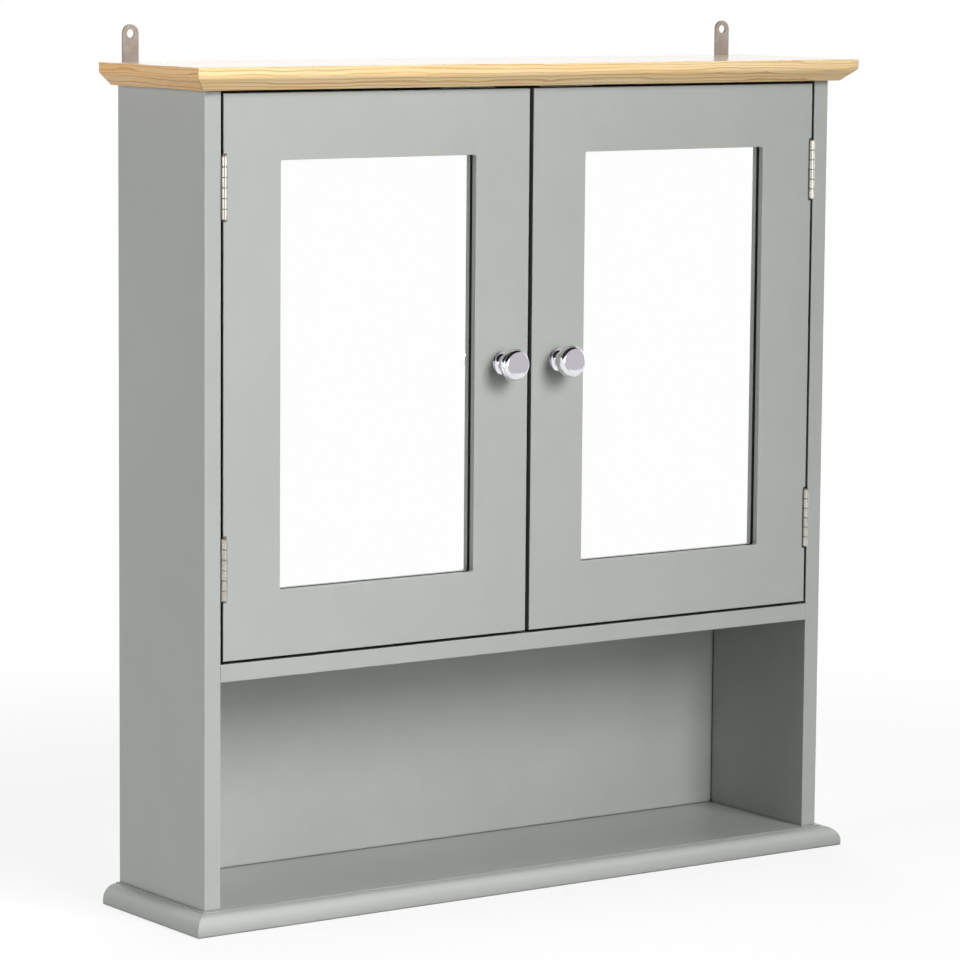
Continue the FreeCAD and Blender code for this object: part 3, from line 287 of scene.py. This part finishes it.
def wood_effect_board():
    """Pale pine-effect board: growth lines along each edge and the top, with a seam at each front corner; the
    top is painted pale as a highlight and the ends painted darker as shade.
    """
    finish = Finish("wood_effect_board", ior=1.5, coat_roughness=0.12, coat_ior=1.75)
    facing = finish.facing()
    top = abs(finish.part(facing, "Z")) > 0.9
    ends = (abs(finish.part(facing, "X")) > abs(finish.part(facing, "Y"))) * (1.0 - top)
    x, y, z = (finish.part(finish.place, axis) for axis in "XYZ")
    along = x + ends * (y * 1.3 + 3.1 - x)
    across = z + x * 0.003 + top * (y - z) + ends * 0.0021
    plane = finish.joined(along, across, 0.0)

    def grain(per_metre_along, per_metre_across, **noise):
        return finish.noise(plane, scale=1.0, stretch=(per_metre_along, per_metre_across, 1.0), **noise)

    sway = grain(11.0, 26.0) - 0.5
    waver = grain(55.0, 120.0, detail=1.0) - 0.5
    spacing = grain(3.0, 210.0, detail=1.0) - 0.5
    ring = (across / RING_SPACING + sway * 2.2 + waver * 0.35 + spacing * 2.0).fraction()
    late = ring.between(0.5, 0.86) * (1.0 - ring.between(0.9, 0.97))
    strength = grain(9.0, 300.0, roughness=0.6).between(0.22, 0.52)
    fine = grain(24.0, 1500.0, roughness=0.6)
    cloud = grain(6.0, 120.0)
    pore = grain(170.0, 3000.0, detail=1.0).between(0.6, 0.75)
    colour = finish.mix(cloud.between(0.3, 0.7), tone(255, 218, 157), tone(255, 228, 177))
    colour = finish.mix(late * strength * 0.7, colour, tone(204, 150, 90))
    colour = finish.mix(fine.between(0.55, 0.3) * 0.2, colour, tone(226, 176, 118))
    colour = finish.mix(pore * 0.15, colour, tone(176, 130, 82))
    # painted shade on the ends
    colour = finish.mix(ends, colour, END_SHADE_TINT, "MULTIPLY")
    # painted highlight: the top face laid pale, standing in for its sheen
    colour = finish.mix(top * 0.75, colour, tone(240, 228, 208))
    low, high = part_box("top_board")
    from_end = high.x - abs(x)
    from_front = y - low.y
    seam = (1.0 - abs(from_end - from_front).between(SEAM_INNER, SEAM_OUTER)) * (1.0 - top)
    colour = finish.mix(seam * 0.6, colour, tone(128, 90, 56))
    rough = 0.4 + fine * 0.1 + pore * 0.1
    relief = (fine * 0.5 - late * strength * 0.4 - pore * 0.5) * (1.0 - top) - seam
    finish.feed(base_color=colour, roughness=rough, coat_weight=0.04 + top * 0.96,
                normal=finish.bump(relief, 0.03 * MM))
    return finish.material


def mirror_glass():
    """Silvered glass with the faintest haze."""
    finish = Finish("mirror_glass", metallic=1.0, base_color=(0.985, 0.99, 0.988, 1.0))
    haze = finish.noise(finish.place, scale=60.0, detail=3.0)
    finish.feed(roughness=haze.between(0.45, 0.8) * 0.012)
    return finish.material


def polished(name, colour, worn, low, high):
    """A plated metal: a colour that drifts a little, painted shade in joints and gaps, and roughness between
    two values.
    """
    finish = Finish(name, metallic=1.0)
    smear = finish.noise(finish.place, scale=120.0, detail=4.0, roughness=0.6)
    fleck = finish.noise(finish.place, scale=2600.0, detail=1.0)
    joint_shade = finish.crevice_shade(reach=1.2 * MM)
    plated = finish.mix(smear.between(0.3, 0.7), colour, worn)
    # painted shade in joints and narrow gaps
    finish.feed(base_color=finish.mix(joint_shade * 0.85, plated, tone(58, 55, 52)),
                roughness=low + smear * (high - low) + joint_shade * 0.3,
                normal=finish.bump(fleck, 0.004 * MM))
    return finish.material


# painted reflection: which way the grey zone on the crown leans, and where it fades in
REFLECTION_UPWARDS, REFLECTION_FORWARDS = 0.34, 0.94
REFLECTION_FROM, REFLECTION_FULL = 0.882, 0.898


def knob_chrome():
    """Mirror-bright chrome, with a painted grey reflection, slightly satin, on the crown, set a little above
    its middle, and painted shade in narrow gaps.
    """
    finish = Finish("knob_chrome", metallic=1.0)
    smear = finish.noise(finish.place, scale=140.0, detail=4.0, roughness=0.6)
    facing = finish.facing()
    lean = finish.part(facing, "Z") * REFLECTION_UPWARDS - finish.part(facing, "Y") * REFLECTION_FORWARDS
    painted_reflection = lean.between(REFLECTION_FROM, REFLECTION_FULL)
    joint_shade = finish.crevice_shade(reach=1.0 * MM)
    bright = finish.mix(smear.between(0.3, 0.7), tone(236, 236, 239), tone(228, 228, 232))
    # painted reflection: grey by surface direction, also a little rougher
    colour = finish.mix(painted_reflection, bright, tone(191, 187, 194))
    # painted shade in narrow gaps
    finish.feed(base_color=finish.mix(joint_shade * 0.8, colour, tone(52, 52, 55)),
                roughness=0.012 + smear * 0.02 + painted_reflection * 0.06)
    return finish.material


def plate_zinc():
    """Dull plated sheet with a fine tumbled grain and a few rubbed spots."""
    finish = Finish("plate_zinc", metallic=1.0)
    tumble = finish.noise(finish.place, scale=1500.0, detail=3.0, roughness=0.7)
    cloud = finish.noise(finish.place, scale=160.0, detail=3.0, roughness=0.6)
    colour = finish.mix(cloud.between(0.3, 0.7), tone(172, 160, 150), tone(184, 173, 163))
    colour = finish.mix(tumble.between(0.55, 0.8) * 0.5, colour, tone(148, 136, 127))
    flat = 1.0 - finish.rounding()
    edge = 1.0 - abs(finish.part(finish.facing(), "Y")).between(0.4, 0.7)
    colour = finish.mix(edge * flat * 0.7, colour, tone(118, 107, 99))
    finish.feed(base_color=colour, roughness=0.42 + tumble * 0.2,
                normal=finish.bump(tumble, 0.02 * MM))
    return finish.material


def dowel_beech():
    """Bare beech with short flecks."""
    finish = Finish("dowel_beech", ior=1.45)
    fleck = finish.noise(finish.place, scale=1800.0, stretch=(1.0, 1.0, 0.15)).between(0.55, 0.7)
    band = finish.noise(finish.place, scale=700.0)
    colour = finish.mix(band, tone(201, 163, 120), tone(222, 188, 148))
    finish.feed(base_color=finish.mix(fleck * 0.5, colour, tone(160, 114, 76)),
                roughness=0.6 + band * 0.1, normal=finish.bump(fleck, 0.02 * MM))
    return finish.material


def catch_plastic():
    """White moulded plastic with a fine satin texture."""
    finish = Finish("catch_plastic", ior=1.46)
    grain = finish.noise(finish.place, scale=2200.0)
    cloud = finish.noise(finish.place, scale=60.0)
    finish.feed(base_color=finish.mix(cloud.between(0.3, 0.7), tone(222, 221, 216), tone(231, 230, 226)),
                roughness=0.4 + grain * 0.12, normal=finish.bump(grain, 0.012 * MM))
    return finish.material


def magnet_ferrite():
    """Dark grey sintered ferrite."""
    finish = Finish("magnet_ferrite", ior=1.6)
    grain = finish.noise(finish.place, scale=1600.0, detail=4.0, roughness=0.7)
    finish.feed(base_color=finish.mix(grain, tone(38, 38, 41), tone(66, 66, 69)),
                roughness=0.5 + grain * 0.2, normal=finish.bump(grain, 0.02 * MM))
    return finish.material


FINISHES = {
    "wood_effect_board": wood_effect_board(),
    "sage_paint": sage_paint(),
    "painted_hardboard": painted_hardboard(),
    "brown_hardboard": brown_hardboard(),
    "mirror_glass": mirror_glass(),
    "knob_chrome": knob_chrome(),
    "hinge_nickel": polished("hinge_nickel", tone(194, 190, 182), tone(180, 175, 166), low=0.12, high=0.24),
    "plate_zinc": plate_zinc(),
    "zinc_steel": polished("zinc_steel", tone(200, 201, 203), tone(180, 182, 186), low=0.2, high=0.38),
    "dowel_beech": dowel_beech(),
    "catch_plastic": catch_plastic(),
    "magnet_ferrite": magnet_ferrite(),
}
for cad_node in frame["nodes"].values():
    for material_slot in cad_node.material_slots:
        material_slot.material = FINISHES[material_slot.material.name.split(".")[0]]


# ---------------------------------------------------------------- mirrors

GLASS_DEPTH = 1.5 * MM
GLASS_ARRIS = 0.4 * MM


def mirror_plate(side):
    """A mirror with a small bevel round its front edges, its silver set as deep as it looks through the
    glass.
    """
    low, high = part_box(f"{side}_mirror")
    low = low + Vector((0, GLASS_DEPTH, 0))
    shape = bmesh.new()
    bmesh.ops.create_cube(shape, size=1.0)
    size = high - low
    for vertex in shape.verts:
        vertex.co = low + Vector([size[i] * (vertex.co[i] + 0.5) for i in range(3)])
    rim = [edge for edge in shape.edges if all(abs(v.co.y - low.y) < SAME_PLACE for v in edge.verts)]
    bmesh.ops.bevel(shape, geom=rim, offset=GLASS_ARRIS, segments=1, affect="EDGES")
    mesh = bpy.data.meshes.new(f"{side}_silvered_mirror")
    shape.to_mesh(mesh)
    shape.free()
    return mesh


def add_piece(name, mesh, body, slot, *stands_for):
    """Puts a finished mesh in the scene, riding on its body and standing for its CAD nodes."""
    piece = bpy.data.objects.new(name, mesh)
    bpy.context.scene.collection.objects.link(piece)
    if not mesh.materials:
        mesh.materials.append(FINISHES[slot])
    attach(piece, body)
    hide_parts(*stands_for)
    return piece


for side in ("left", "right"):
    add_piece(f"{side}_silvered_mirror", mirror_plate(side),
              f"{side}_door", "mirror_glass", f"{side}_mirror")


# ---------------------------------------------------------------- knobs

# Widths as shares of the head's radius.
FOOT_SHARE, NECK_SHARE, FACE_SHARE, BRIM_SHARE = 0.708, 0.39, 0.70, 0.93
# Heights above the foot: the two ends of the hollow, the brim and the edge of the crown.
HOLLOW_LOW, HOLLOW_HIGH, BRIM_HEIGHT, SHOULDER_HEIGHT = 5.0 * MM, 8.6 * MM, 14.4 * MM, 15.6 * MM
FOOT_ARRIS = 0.4 * MM
HOLLOW_DROP, HEAD_FLARE, BRIM_DROP, CROWN_RISE = 3.9 * MM, 5.0 * MM, 0.8 * MM, 0.7 * MM
CROWN_STEPS = (0.98, 0.9, 0.8, 0.7, 0.6, 0.5, 0.4, 0.3, 0.2, 0.1)


def arc(centre, radii, start, end, count):
    """Points along an elliptical arc, from one angle to another in degrees."""
    points = []
    for number in range(count + 1):
        angle = math.radians(start + (end - start) * number / count)
        points.append((centre[0] + radii[0] * math.cos(angle), centre[1] + radii[1] * math.sin(angle)))
    return points


def knob_outline(radius, length):
    """Half outline of a knob as (radius, height): foot, hollowed neck, rounded head and low crown."""
    foot, neck, face, brim = (share * radius
                              for share in (FOOT_SHARE, NECK_SHARE, FACE_SHARE, BRIM_SHARE))
    outline = [(0.0, 0.0), (foot - FOOT_ARRIS, 0.0)]
    outline += arc((foot - FOOT_ARRIS, FOOT_ARRIS), (FOOT_ARRIS, FOOT_ARRIS), -90, 0, 4)
    outline += arc((foot, HOLLOW_LOW), (foot - neck, HOLLOW_DROP), 270, 180, 12)
    outline += arc((brim, HOLLOW_HIGH), (brim - neck, HEAD_FLARE), 180, 90, 12)
    outline += arc((brim, BRIM_HEIGHT), (radius - brim, BRIM_DROP), -90, 0, 5)
    shoulder = (radius - face, length - SHOULDER_HEIGHT - CROWN_RISE)
    outline += arc((face, SHOULDER_HEIGHT), shoulder, 0, 80, 14)
    outline += [(face * step, length - CROWN_RISE * step * step) for step in CROWN_STEPS]
    outline.append((0.0, length))
    return [point for number, point in enumerate(outline) if number == 0 or point != outline[number - 1]]


def turned(name, outline, centre, ahead, sides=96):
    """A mesh turned from a half outline about an axis, closed at both poles."""
    shape = bmesh.new()
    across = ahead.orthogonal().normalized()
    upward = ahead.cross(across)
    rings = []
    for radius, height in outline:
        turns = [0.0] if radius == 0.0 else [math.tau * number / sides for number in range(sides)]
        spokes = [across * math.cos(turn) + upward * math.sin(turn) for turn in turns]
        rings.append([shape.verts.new(centre + ahead * height + spoke * radius) for spoke in spokes])
    for lower, upper in zip(rings, rings[1:]):
        for number in range(sides):
            corners = [lower[number % len(lower)], lower[(number + 1) % len(lower)],
                       upper[(number + 1) % len(upper)], upper[number % len(upper)]]
            shape.faces.new(list(dict.fromkeys(corners)))
    bmesh.ops.remove_doubles(shape, verts=shape.verts, dist=SAME_PLACE)
    bmesh.ops.recalc_face_normals(shape, faces=shape.faces)
    mesh = bpy.data.meshes.new(name)
    shape.to_mesh(mesh)
    shape.free()
    round_off(mesh)
    return mesh


def round_off(mesh, angle=32.0):
    """Shades a mesh smooth, except over edges sharper than an angle in degrees."""
    mesh.shade_smooth()
    mesh.set_sharp_from_angle(angle=math.radians(angle))


for side in ("left", "right"):
    low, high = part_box(f"{side}_knob")
    foot_centre = Vector(((low.x + high.x) / 2, high.y, (low.z + high.z) / 2))
    outline = knob_outline((high.x - low.x) / 2, high.y - low.y)
    knob = turned(f"{side}_turned_knob", outline, foot_centre, ahead=Vector((0, -1, 0)))
    add_piece(f"{side}_turned_knob", knob, f"{side}_door", "knob_chrome", f"{side}_knob")


# ---------------------------------------------------------------- screws and pins

RIM_SHARE = 0.9
RING_SIDES = 40
TIP_SHARE = 0.12
UNDER_HEAD = 0.02 * MM


def seats(node):
    """Where a CAD node's fasteners sit: each head's middle, the way it faces, its radius, the length."""
    shape = bmesh.new()
    shape.from_mesh(frame["nodes"][node].data)
    bmesh.ops.remove_doubles(shape, verts=shape.verts, dist=SAME_PLACE)
    seen = set()
    found = []
    for start in shape.verts:
        if start in seen:
            continue
        seen.add(start)
        solid = [start]
        for vertex in solid:
            for other in (edge.other_vert(vertex) for edge in vertex.link_edges):
                if other not in seen:
                    seen.add(other)
                    solid.append(other)
        low, high = (Vector([pick(vertex.co[i] for vertex in solid) for i in range(3)])
                     for pick in (min, max))
        middle = (low + high) / 2
        extent = high - low
        axis = max(range(3), key=lambda i: extent[i])
        radius = max(extent[i] for i in range(3) if i != axis) / 2
        rim = []
        for vertex in solid:
            offset = vertex.co - middle
            offset[axis] = 0.0
            if offset.length > RIM_SHARE * radius:
                rim.append(vertex.co[axis])
        way = 1.0 if sum(rim) / len(rim) > middle[axis] else -1.0
        facing = Vector([way if i == axis else 0.0 for i in range(3)])
        found.append((middle + facing * extent[axis] / 2, facing, radius, extent[axis]))
    shape.free()
    return sorted(found, key=lambda seat: tuple(round(value, 5) for value in seat[0]))


class Hardware(Tree):
    """A Geometry Nodes tree that turns a fastener from its named sizes and sets one on every seat."""

    def __init__(self, name, crossed):
        super().__init__(bpy.data.node_groups.new(name, "GeometryNodeTree"))
        self.socket("Seats", "NodeSocketGeometry")
        self.names = {label: self.socket(label, "NodeSocketFloat") for label in FASTENER_SIZES}
        self.names["Seed"] = self.socket("Seed", "NodeSocketInt")
        self.names["Finish"] = self.socket("Finish", "NodeSocketMaterial")
        self.data.interface.new_socket("Fasteners", in_out="OUTPUT", socket_type="NodeSocketGeometry")
        given = self.data.nodes.new("NodeGroupInput")
        size = {socket.name: Wire(self, socket) for socket in given.outputs if socket.name}
        body = self.turned(size)
        if crossed:
            body = self.recessed(body, size)
        facing = self.node("GeometryNodeInputNamedAttribute", {"data_type": "FLOAT_VECTOR"},
                           {"Name": "facing"})
        aligned = self.node("FunctionNodeAlignRotationToVector", {"axis": "Z"}, {"Vector": facing})
        turn = self.node("FunctionNodeRandomValue", {"data_type": "FLOAT"},
                         {2: 0.0, 3: math.tau, "Seed": size["Seed"]}, output=1)
        spin = self.node("FunctionNodeAxisAngleToRotation", None,
                         {"Axis": (0.0, 0.0, 1.0), "Angle": turn})
        rotation = self.node("FunctionNodeRotateRotation", {"rotation_space": "LOCAL"},
                             {0: aligned, 1: spin})
        placed = self.node("GeometryNodeInstanceOnPoints", None,
                           {"Points": size["Seats"], "Instance": body, "Rotation": rotation})
        solid = self.node("GeometryNodeRealizeInstances", None, {"Geometry": placed})
        finished = self.node("GeometryNodeSetMaterial", None,
                             {"Geometry": solid, "Material": size["Finish"]})
        self.node("NodeGroupOutput", None, {0: finished}, None)

    def socket(self, label, kind):
        return self.data.interface.new_socket(label, in_out="INPUT", socket_type=kind).identifier

    def turned(self, size):
        """The fastener, its head's top at the origin and its shank below it."""
        shank, head, crown = size["Shank Radius"], size["Head Radius"], size["Crown Radius"]
        length, tip, depth, rim = size["Length"], size["Tip Length"], size["Head Height"], size["Rim Drop"]
        outline = [
            (shank * TIP_SHARE, -length),
            (shank, tip - length),
            (shank, -depth - UNDER_HEAD),
            (size["Under Radius"], -depth),
            (head, -rim),
            (head * 0.7 + crown * 0.3, rim * -0.6),
            (head * 0.3 + crown * 0.7, rim * -0.22),
            (crown, 0.0),
        ]
        number = self.node("GeometryNodeInputIndex")
        radius, level = (
            self.node("GeometryNodeIndexSwitch", {"data_type": "FLOAT", "index_count": len(outline)},
                      {0: number, **{place + 1: point[part] for place, point in enumerate(outline)}})
            for part in (0, 1)
        )
        points = self.node("GeometryNodeMeshLine", None,
                           {"Count": len(outline), "Offset": (0.0, 0.0, 1.0 * MM)})
        raised = self.node("GeometryNodeSetPosition", None,
                           {"Geometry": points, "Position": self.joined(0.0, 0.0, level)})
        curve = self.node("GeometryNodeMeshToCurve", None, {"Mesh": raised})
        ring = self.node("GeometryNodeCurvePrimitiveCircle", None,
                         {"Resolution": RING_SIDES, "Radius": 1.0})
        return self.node("GeometryNodeCurveToMesh", None,
                         {"Curve": curve, "Profile Curve": ring, "Scale": radius, "Fill Caps": True})

    def recessed(self, body, size):
        """The fastener with a cross-shaped recess cut into its head."""
        long_side, short_side = size["Arm Length"], size["Arm Width"]
        depth = size["Recess Depth"] * 2.0
        arms = [self.node("GeometryNodeMeshCube", None, {"Size": self.joined(*sides)})
                for sides in ((long_side, short_side, depth), (short_side, long_side, depth))]
        return self.node("GeometryNodeMeshBoolean", {"operation": "DIFFERENCE", "solver": "EXACT"},
                         {"Mesh 1": body, "Mesh 2": arms})


FASTENER_SIZES = ("Head Radius", "Head Height", "Under Radius", "Rim Drop", "Crown Radius",
                  "Shank Radius", "Length", "Tip Length", "Arm Length", "Arm Width", "Recess Depth")
CROSSED = Hardware("crossed_fastener", True)
PLAIN = Hardware("plain_fastener", False)


def fit_hardware(node, tree, seed, **share):
    """Replaces a CAD node's fasteners. Shank and tip are in mm, the rest in shares of the head radius."""
    found = seats(node)
    mesh = bpy.data.meshes.new(f"{node}_seats")
    mesh.from_pydata([seat[0] for seat in found], [], [])
    facing = mesh.attributes.new("facing", "FLOAT_VECTOR", "POINT")
    for number, seat in enumerate(found):
        facing.data[number].vector = seat[1]
    holder = bpy.data.objects.new(f"{node}_seats", mesh)
    bpy.context.scene.collection.objects.link(holder)
    modifier = holder.modifiers.new("hardware", "NODES")
    modifier.node_group = tree.data
    head, length = found[0][2], found[0][3]
    row = next(row for row in frame["record"]["subparts"] if row["node"] == node)
    sizes = {"Head Radius": head, "Length": length, "Shank Radius": share.pop("shank") * MM,
             "Tip Length": share.pop("tip") * MM, "Seed": seed, "Finish": FINISHES[row["material_slot"]]}
    for label, part in share.items():
        sizes[label.replace("_", " ").title()] = part * head
    for label, value in sizes.items():
        modifier[tree.names[label]] = value
    graph = bpy.context.evaluated_depsgraph_get()
    solid = bpy.data.meshes.new_from_object(holder.evaluated_get(graph), depsgraph=graph)
    bpy.data.objects.remove(holder)
    solid.name = f"{node}_fitted"
    solid.materials.clear()
    solid.materials.append(sizes["Finish"])
    solid.polygons.foreach_set("material_index", [0] * len(solid.polygons))
    round_off(solid)
    bodies = frame["record"]["behaviour"]["bodies"]
    body = next(name for name, nodes in bodies.items() if node in nodes)
    add_piece(f"{node}_fitted", solid, body, row["material_slot"], node)


SUNK_HEAD = dict(shank=1.3, tip=3.0, head_height=0.555, under_radius=0.481, rim_drop=0.05,
                 crown_radius=0.93, arm_length=1.15, arm_width=0.25, recess_depth=0.36)
LARGE_SUNK_HEAD = dict(SUNK_HEAD, shank=2.0, tip=5.0, head_height=0.65, under_radius=0.5)
PAN_HEAD = dict(shank=2.0, tip=0.8, head_height=0.6, under_radius=1.0, rim_drop=0.42,
                crown_radius=0.35, arm_length=1.0, arm_width=0.22, recess_depth=0.34)
NAIL_HEAD = dict(shank=0.7, tip=1.4, head_height=0.375, under_radius=1.0, rim_drop=0.2,
                 crown_radius=0.45)
for seed, (node, tree, sizes) in enumerate([
    ("fixed_leaf_screws", CROSSED, SUNK_HEAD),
    ("left_door_leaf_screws", CROSSED, SUNK_HEAD),
    ("right_door_leaf_screws", CROSSED, SUNK_HEAD),
    ("hanging_plate_screws", CROSSED, SUNK_HEAD),
    ("catch_screws", CROSSED, SUNK_HEAD),
    ("left_strike_screws", CROSSED, SUNK_HEAD),
    ("right_strike_screws", CROSSED, SUNK_HEAD),
    ("base_screws", CROSSED, LARGE_SUNK_HEAD),
    ("left_knob_screw", CROSSED, PAN_HEAD),
    ("right_knob_screw", CROSSED, PAN_HEAD),
    ("back_panel_pins", PLAIN, NAIL_HEAD),
    ("left_bead_pins", PLAIN, NAIL_HEAD),
    ("right_bead_pins", PLAIN, NAIL_HEAD),
]):
    fit_hardware(node, tree, seed, **sizes)


# ---------------------------------------------------------------- floor, world, lamps, camera

WORLD_LEVEL = (0.025, 0.025, 0.02525, 1.0)
OVERHEAD_DARK = (0.03, 0.03, 0.035, 1.0)
DARK_LEAN, DARK_FROM, DARK_FULL = 0.25, 0.39, 0.49
FLOOR_HALF = 9.0
FLOOR_BOUNCE = (0.22, 0.22, 0.22, 1.0)
FLOOR_SHADOW = (0.2, 0.2, 0.2, 1.0)
FLOOR_GLOW = 0.79
SHADOW_CENTRE_Y, SHADOW_NEAR, SHADOW_FAR = -0.1, 0.45, 1.1
CAMERA_PLACE = (-1.76143, -2.55045, 0.06979)
CAMERA_YAW, CAMERA_PITCH, CAMERA_ROLL = 0.6146, 0.1256, 0.0083
CAMERA_LENS, CAMERA_SENSOR = 162.58, 36.0


def seen_directly(tree):
    """1 for what the camera, a reflection or clear glass sees, 0 for light that lands on surfaces."""
    rays = [tree.node("ShaderNodeLightPath", output=name)
            for name in ("Is Camera Ray", "Is Glossy Ray", "Is Transmission Ray")]
    return rays[0].highest(rays[1]).highest(rays[2])


def make_world():
    """White where it is seen, with the dark overhead in reflections, and even grey light."""
    world = bpy.data.worlds.new("studio")
    world.use_nodes = True
    tree = Tree(world.node_tree)
    tree.data.nodes.clear()
    way = tree.node("ShaderNodeTexCoord", output="Generated")
    overhead = tree.part(way, "Z") - tree.part(way, "X") * DARK_LEAN
    reflected = tree.node("ShaderNodeLightPath", output="Is Glossy Ray")
    dark = overhead.between(DARK_FROM, DARK_FULL) * reflected
    colour = tree.mix(seen_directly(tree), WORLD_LEVEL, tree.mix(dark, WHITE, OVERHEAD_DARK))
    background = tree.node("ShaderNodeBackground", None, {"Color": colour, "Strength": 1.0})
    tree.node("ShaderNodeOutputWorld", None, {"Surface": background}, None)
    bpy.context.scene.world = world


def make_floor():
    """A pale floor under the base: white where it is seen, with the cabinet's soft shadow."""
    level = cad_box[0].z
    corners = [(-1, -1), (1, -1), (1, 1), (-1, 1)]
    mesh = bpy.data.meshes.new("studio_floor")
    mesh.from_pydata([(x * FLOOR_HALF, y * FLOOR_HALF, level) for x, y in corners], [], [(0, 1, 2, 3)])
    material = bpy.data.materials.new("studio_floor")
    material.use_nodes = True
    tree = Tree(material.node_tree)
    tree.data.nodes.clear()
    seen = seen_directly(tree)
    pale = tree.node("ShaderNodeBsdfDiffuse", None, {"Color": FLOOR_BOUNCE})
    shadowed = tree.node("ShaderNodeBsdfDiffuse", None, {"Color": FLOOR_SHADOW})
    glow = tree.node("ShaderNodeEmission", None, {"Color": WHITE, "Strength": FLOOR_GLOW})
    near = tree.node("ShaderNodeAddShader", None, {0: shadowed, 1: glow})
    white = tree.node("ShaderNodeEmission", None, {"Color": WHITE, "Strength": 1.0})
    place = tree.node("ShaderNodeTexCoord", output="Object")
    away = tree.vector("SUBTRACT", place, (0.0, SHADOW_CENTRE_Y, level))
    reach = tree.node("ShaderNodeVectorMath", {"operation": "LENGTH"}, {0: away}, output="Value")
    shown = tree.node("ShaderNodeMixShader", None,
                      {0: reach.between(SHADOW_NEAR, SHADOW_FAR), 1: near, 2: white})
    surface = tree.node("ShaderNodeMixShader", None, {0: seen, 1: pale, 2: shown})
    tree.node("ShaderNodeOutputMaterial", None, {"Surface": surface}, None)
    mesh.materials.append(material)
    floor = bpy.data.objects.new("studio_floor", mesh)
    bpy.context.scene.collection.objects.link(floor)


def lamp(name, at, towards, size, power, spread=180.0, mirrored=True):
    """A square soft lamp aimed at a point, its spread in degrees; mirrored if reflections show it."""
    light = bpy.data.lights.new(name, "AREA")
    light.spread = math.radians(spread)
    light.size = size
    light.energy = power
    item = bpy.data.objects.new(name, light)
    item.visible_glossy = mirrored
    item.location = at
    item.rotation_euler = (Vector(towards) - Vector(at)).to_track_quat("-Z", "Y").to_euler()
    bpy.context.scene.collection.objects.link(item)


def make_camera():
    """The camera: where it stands, how it is turned, and its focal length."""
    level_way = Vector((math.sin(CAMERA_YAW), math.cos(CAMERA_YAW), 0.0))
    ahead = level_way * math.cos(CAMERA_PITCH) - Vector((0.0, 0.0, math.sin(CAMERA_PITCH)))
    flat_right = Vector((math.cos(CAMERA_YAW), -math.sin(CAMERA_YAW), 0.0))
    flat_up = flat_right.cross(ahead)
    right = flat_right * math.cos(CAMERA_ROLL) + flat_up * math.sin(CAMERA_ROLL)
    up = flat_up * math.cos(CAMERA_ROLL) - flat_right * math.sin(CAMERA_ROLL)
    data = bpy.data.cameras.new("camera")
    data.lens = CAMERA_LENS
    data.sensor_width = CAMERA_SENSOR
    camera = bpy.data.objects.new("camera", data)
    turn = Matrix((right, up, -ahead)).transposed().to_4x4()
    camera.matrix_world = Matrix.Translation(CAMERA_PLACE) @ turn
    bpy.context.scene.collection.objects.link(camera)
    bpy.context.scene.camera = camera


make_world()
make_floor()
middle = (0.0, -0.06, -0.3)
lamp("high_lamp", at=(0.2, -2.4, 0.95), towards=(-0.7, -0.1, -0.5),
     size=1.3, power=14.2, spread=74.0, mirrored=False)
lamp("front_lamp", at=(-0.1, -3.3, 0.0), towards=(-0.7, -0.06, -0.35), size=1.0, power=4.0, spread=66.0)
lamp("left_lamp", at=(-2.4, 0.35, 0.1), towards=middle, size=1.4, power=28.5)
lamp("right_lamp", at=(2.4, 0.35, 0.1), towards=middle, size=1.4, power=20.0)
lamp("top_lamp", at=(0.0, 0.15, 2.4), towards=(0.0, -0.05, 0.0),
     size=1.2, power=2.6, spread=60.0, mirrored=False)
lamp("back_lamp", at=(0.9, 2.5, 0.8), towards=middle,
     size=1.5, power=10.0, spread=90.0, mirrored=False)
make_camera()

bpy.context.scene.view_settings.view_transform = "Standard"
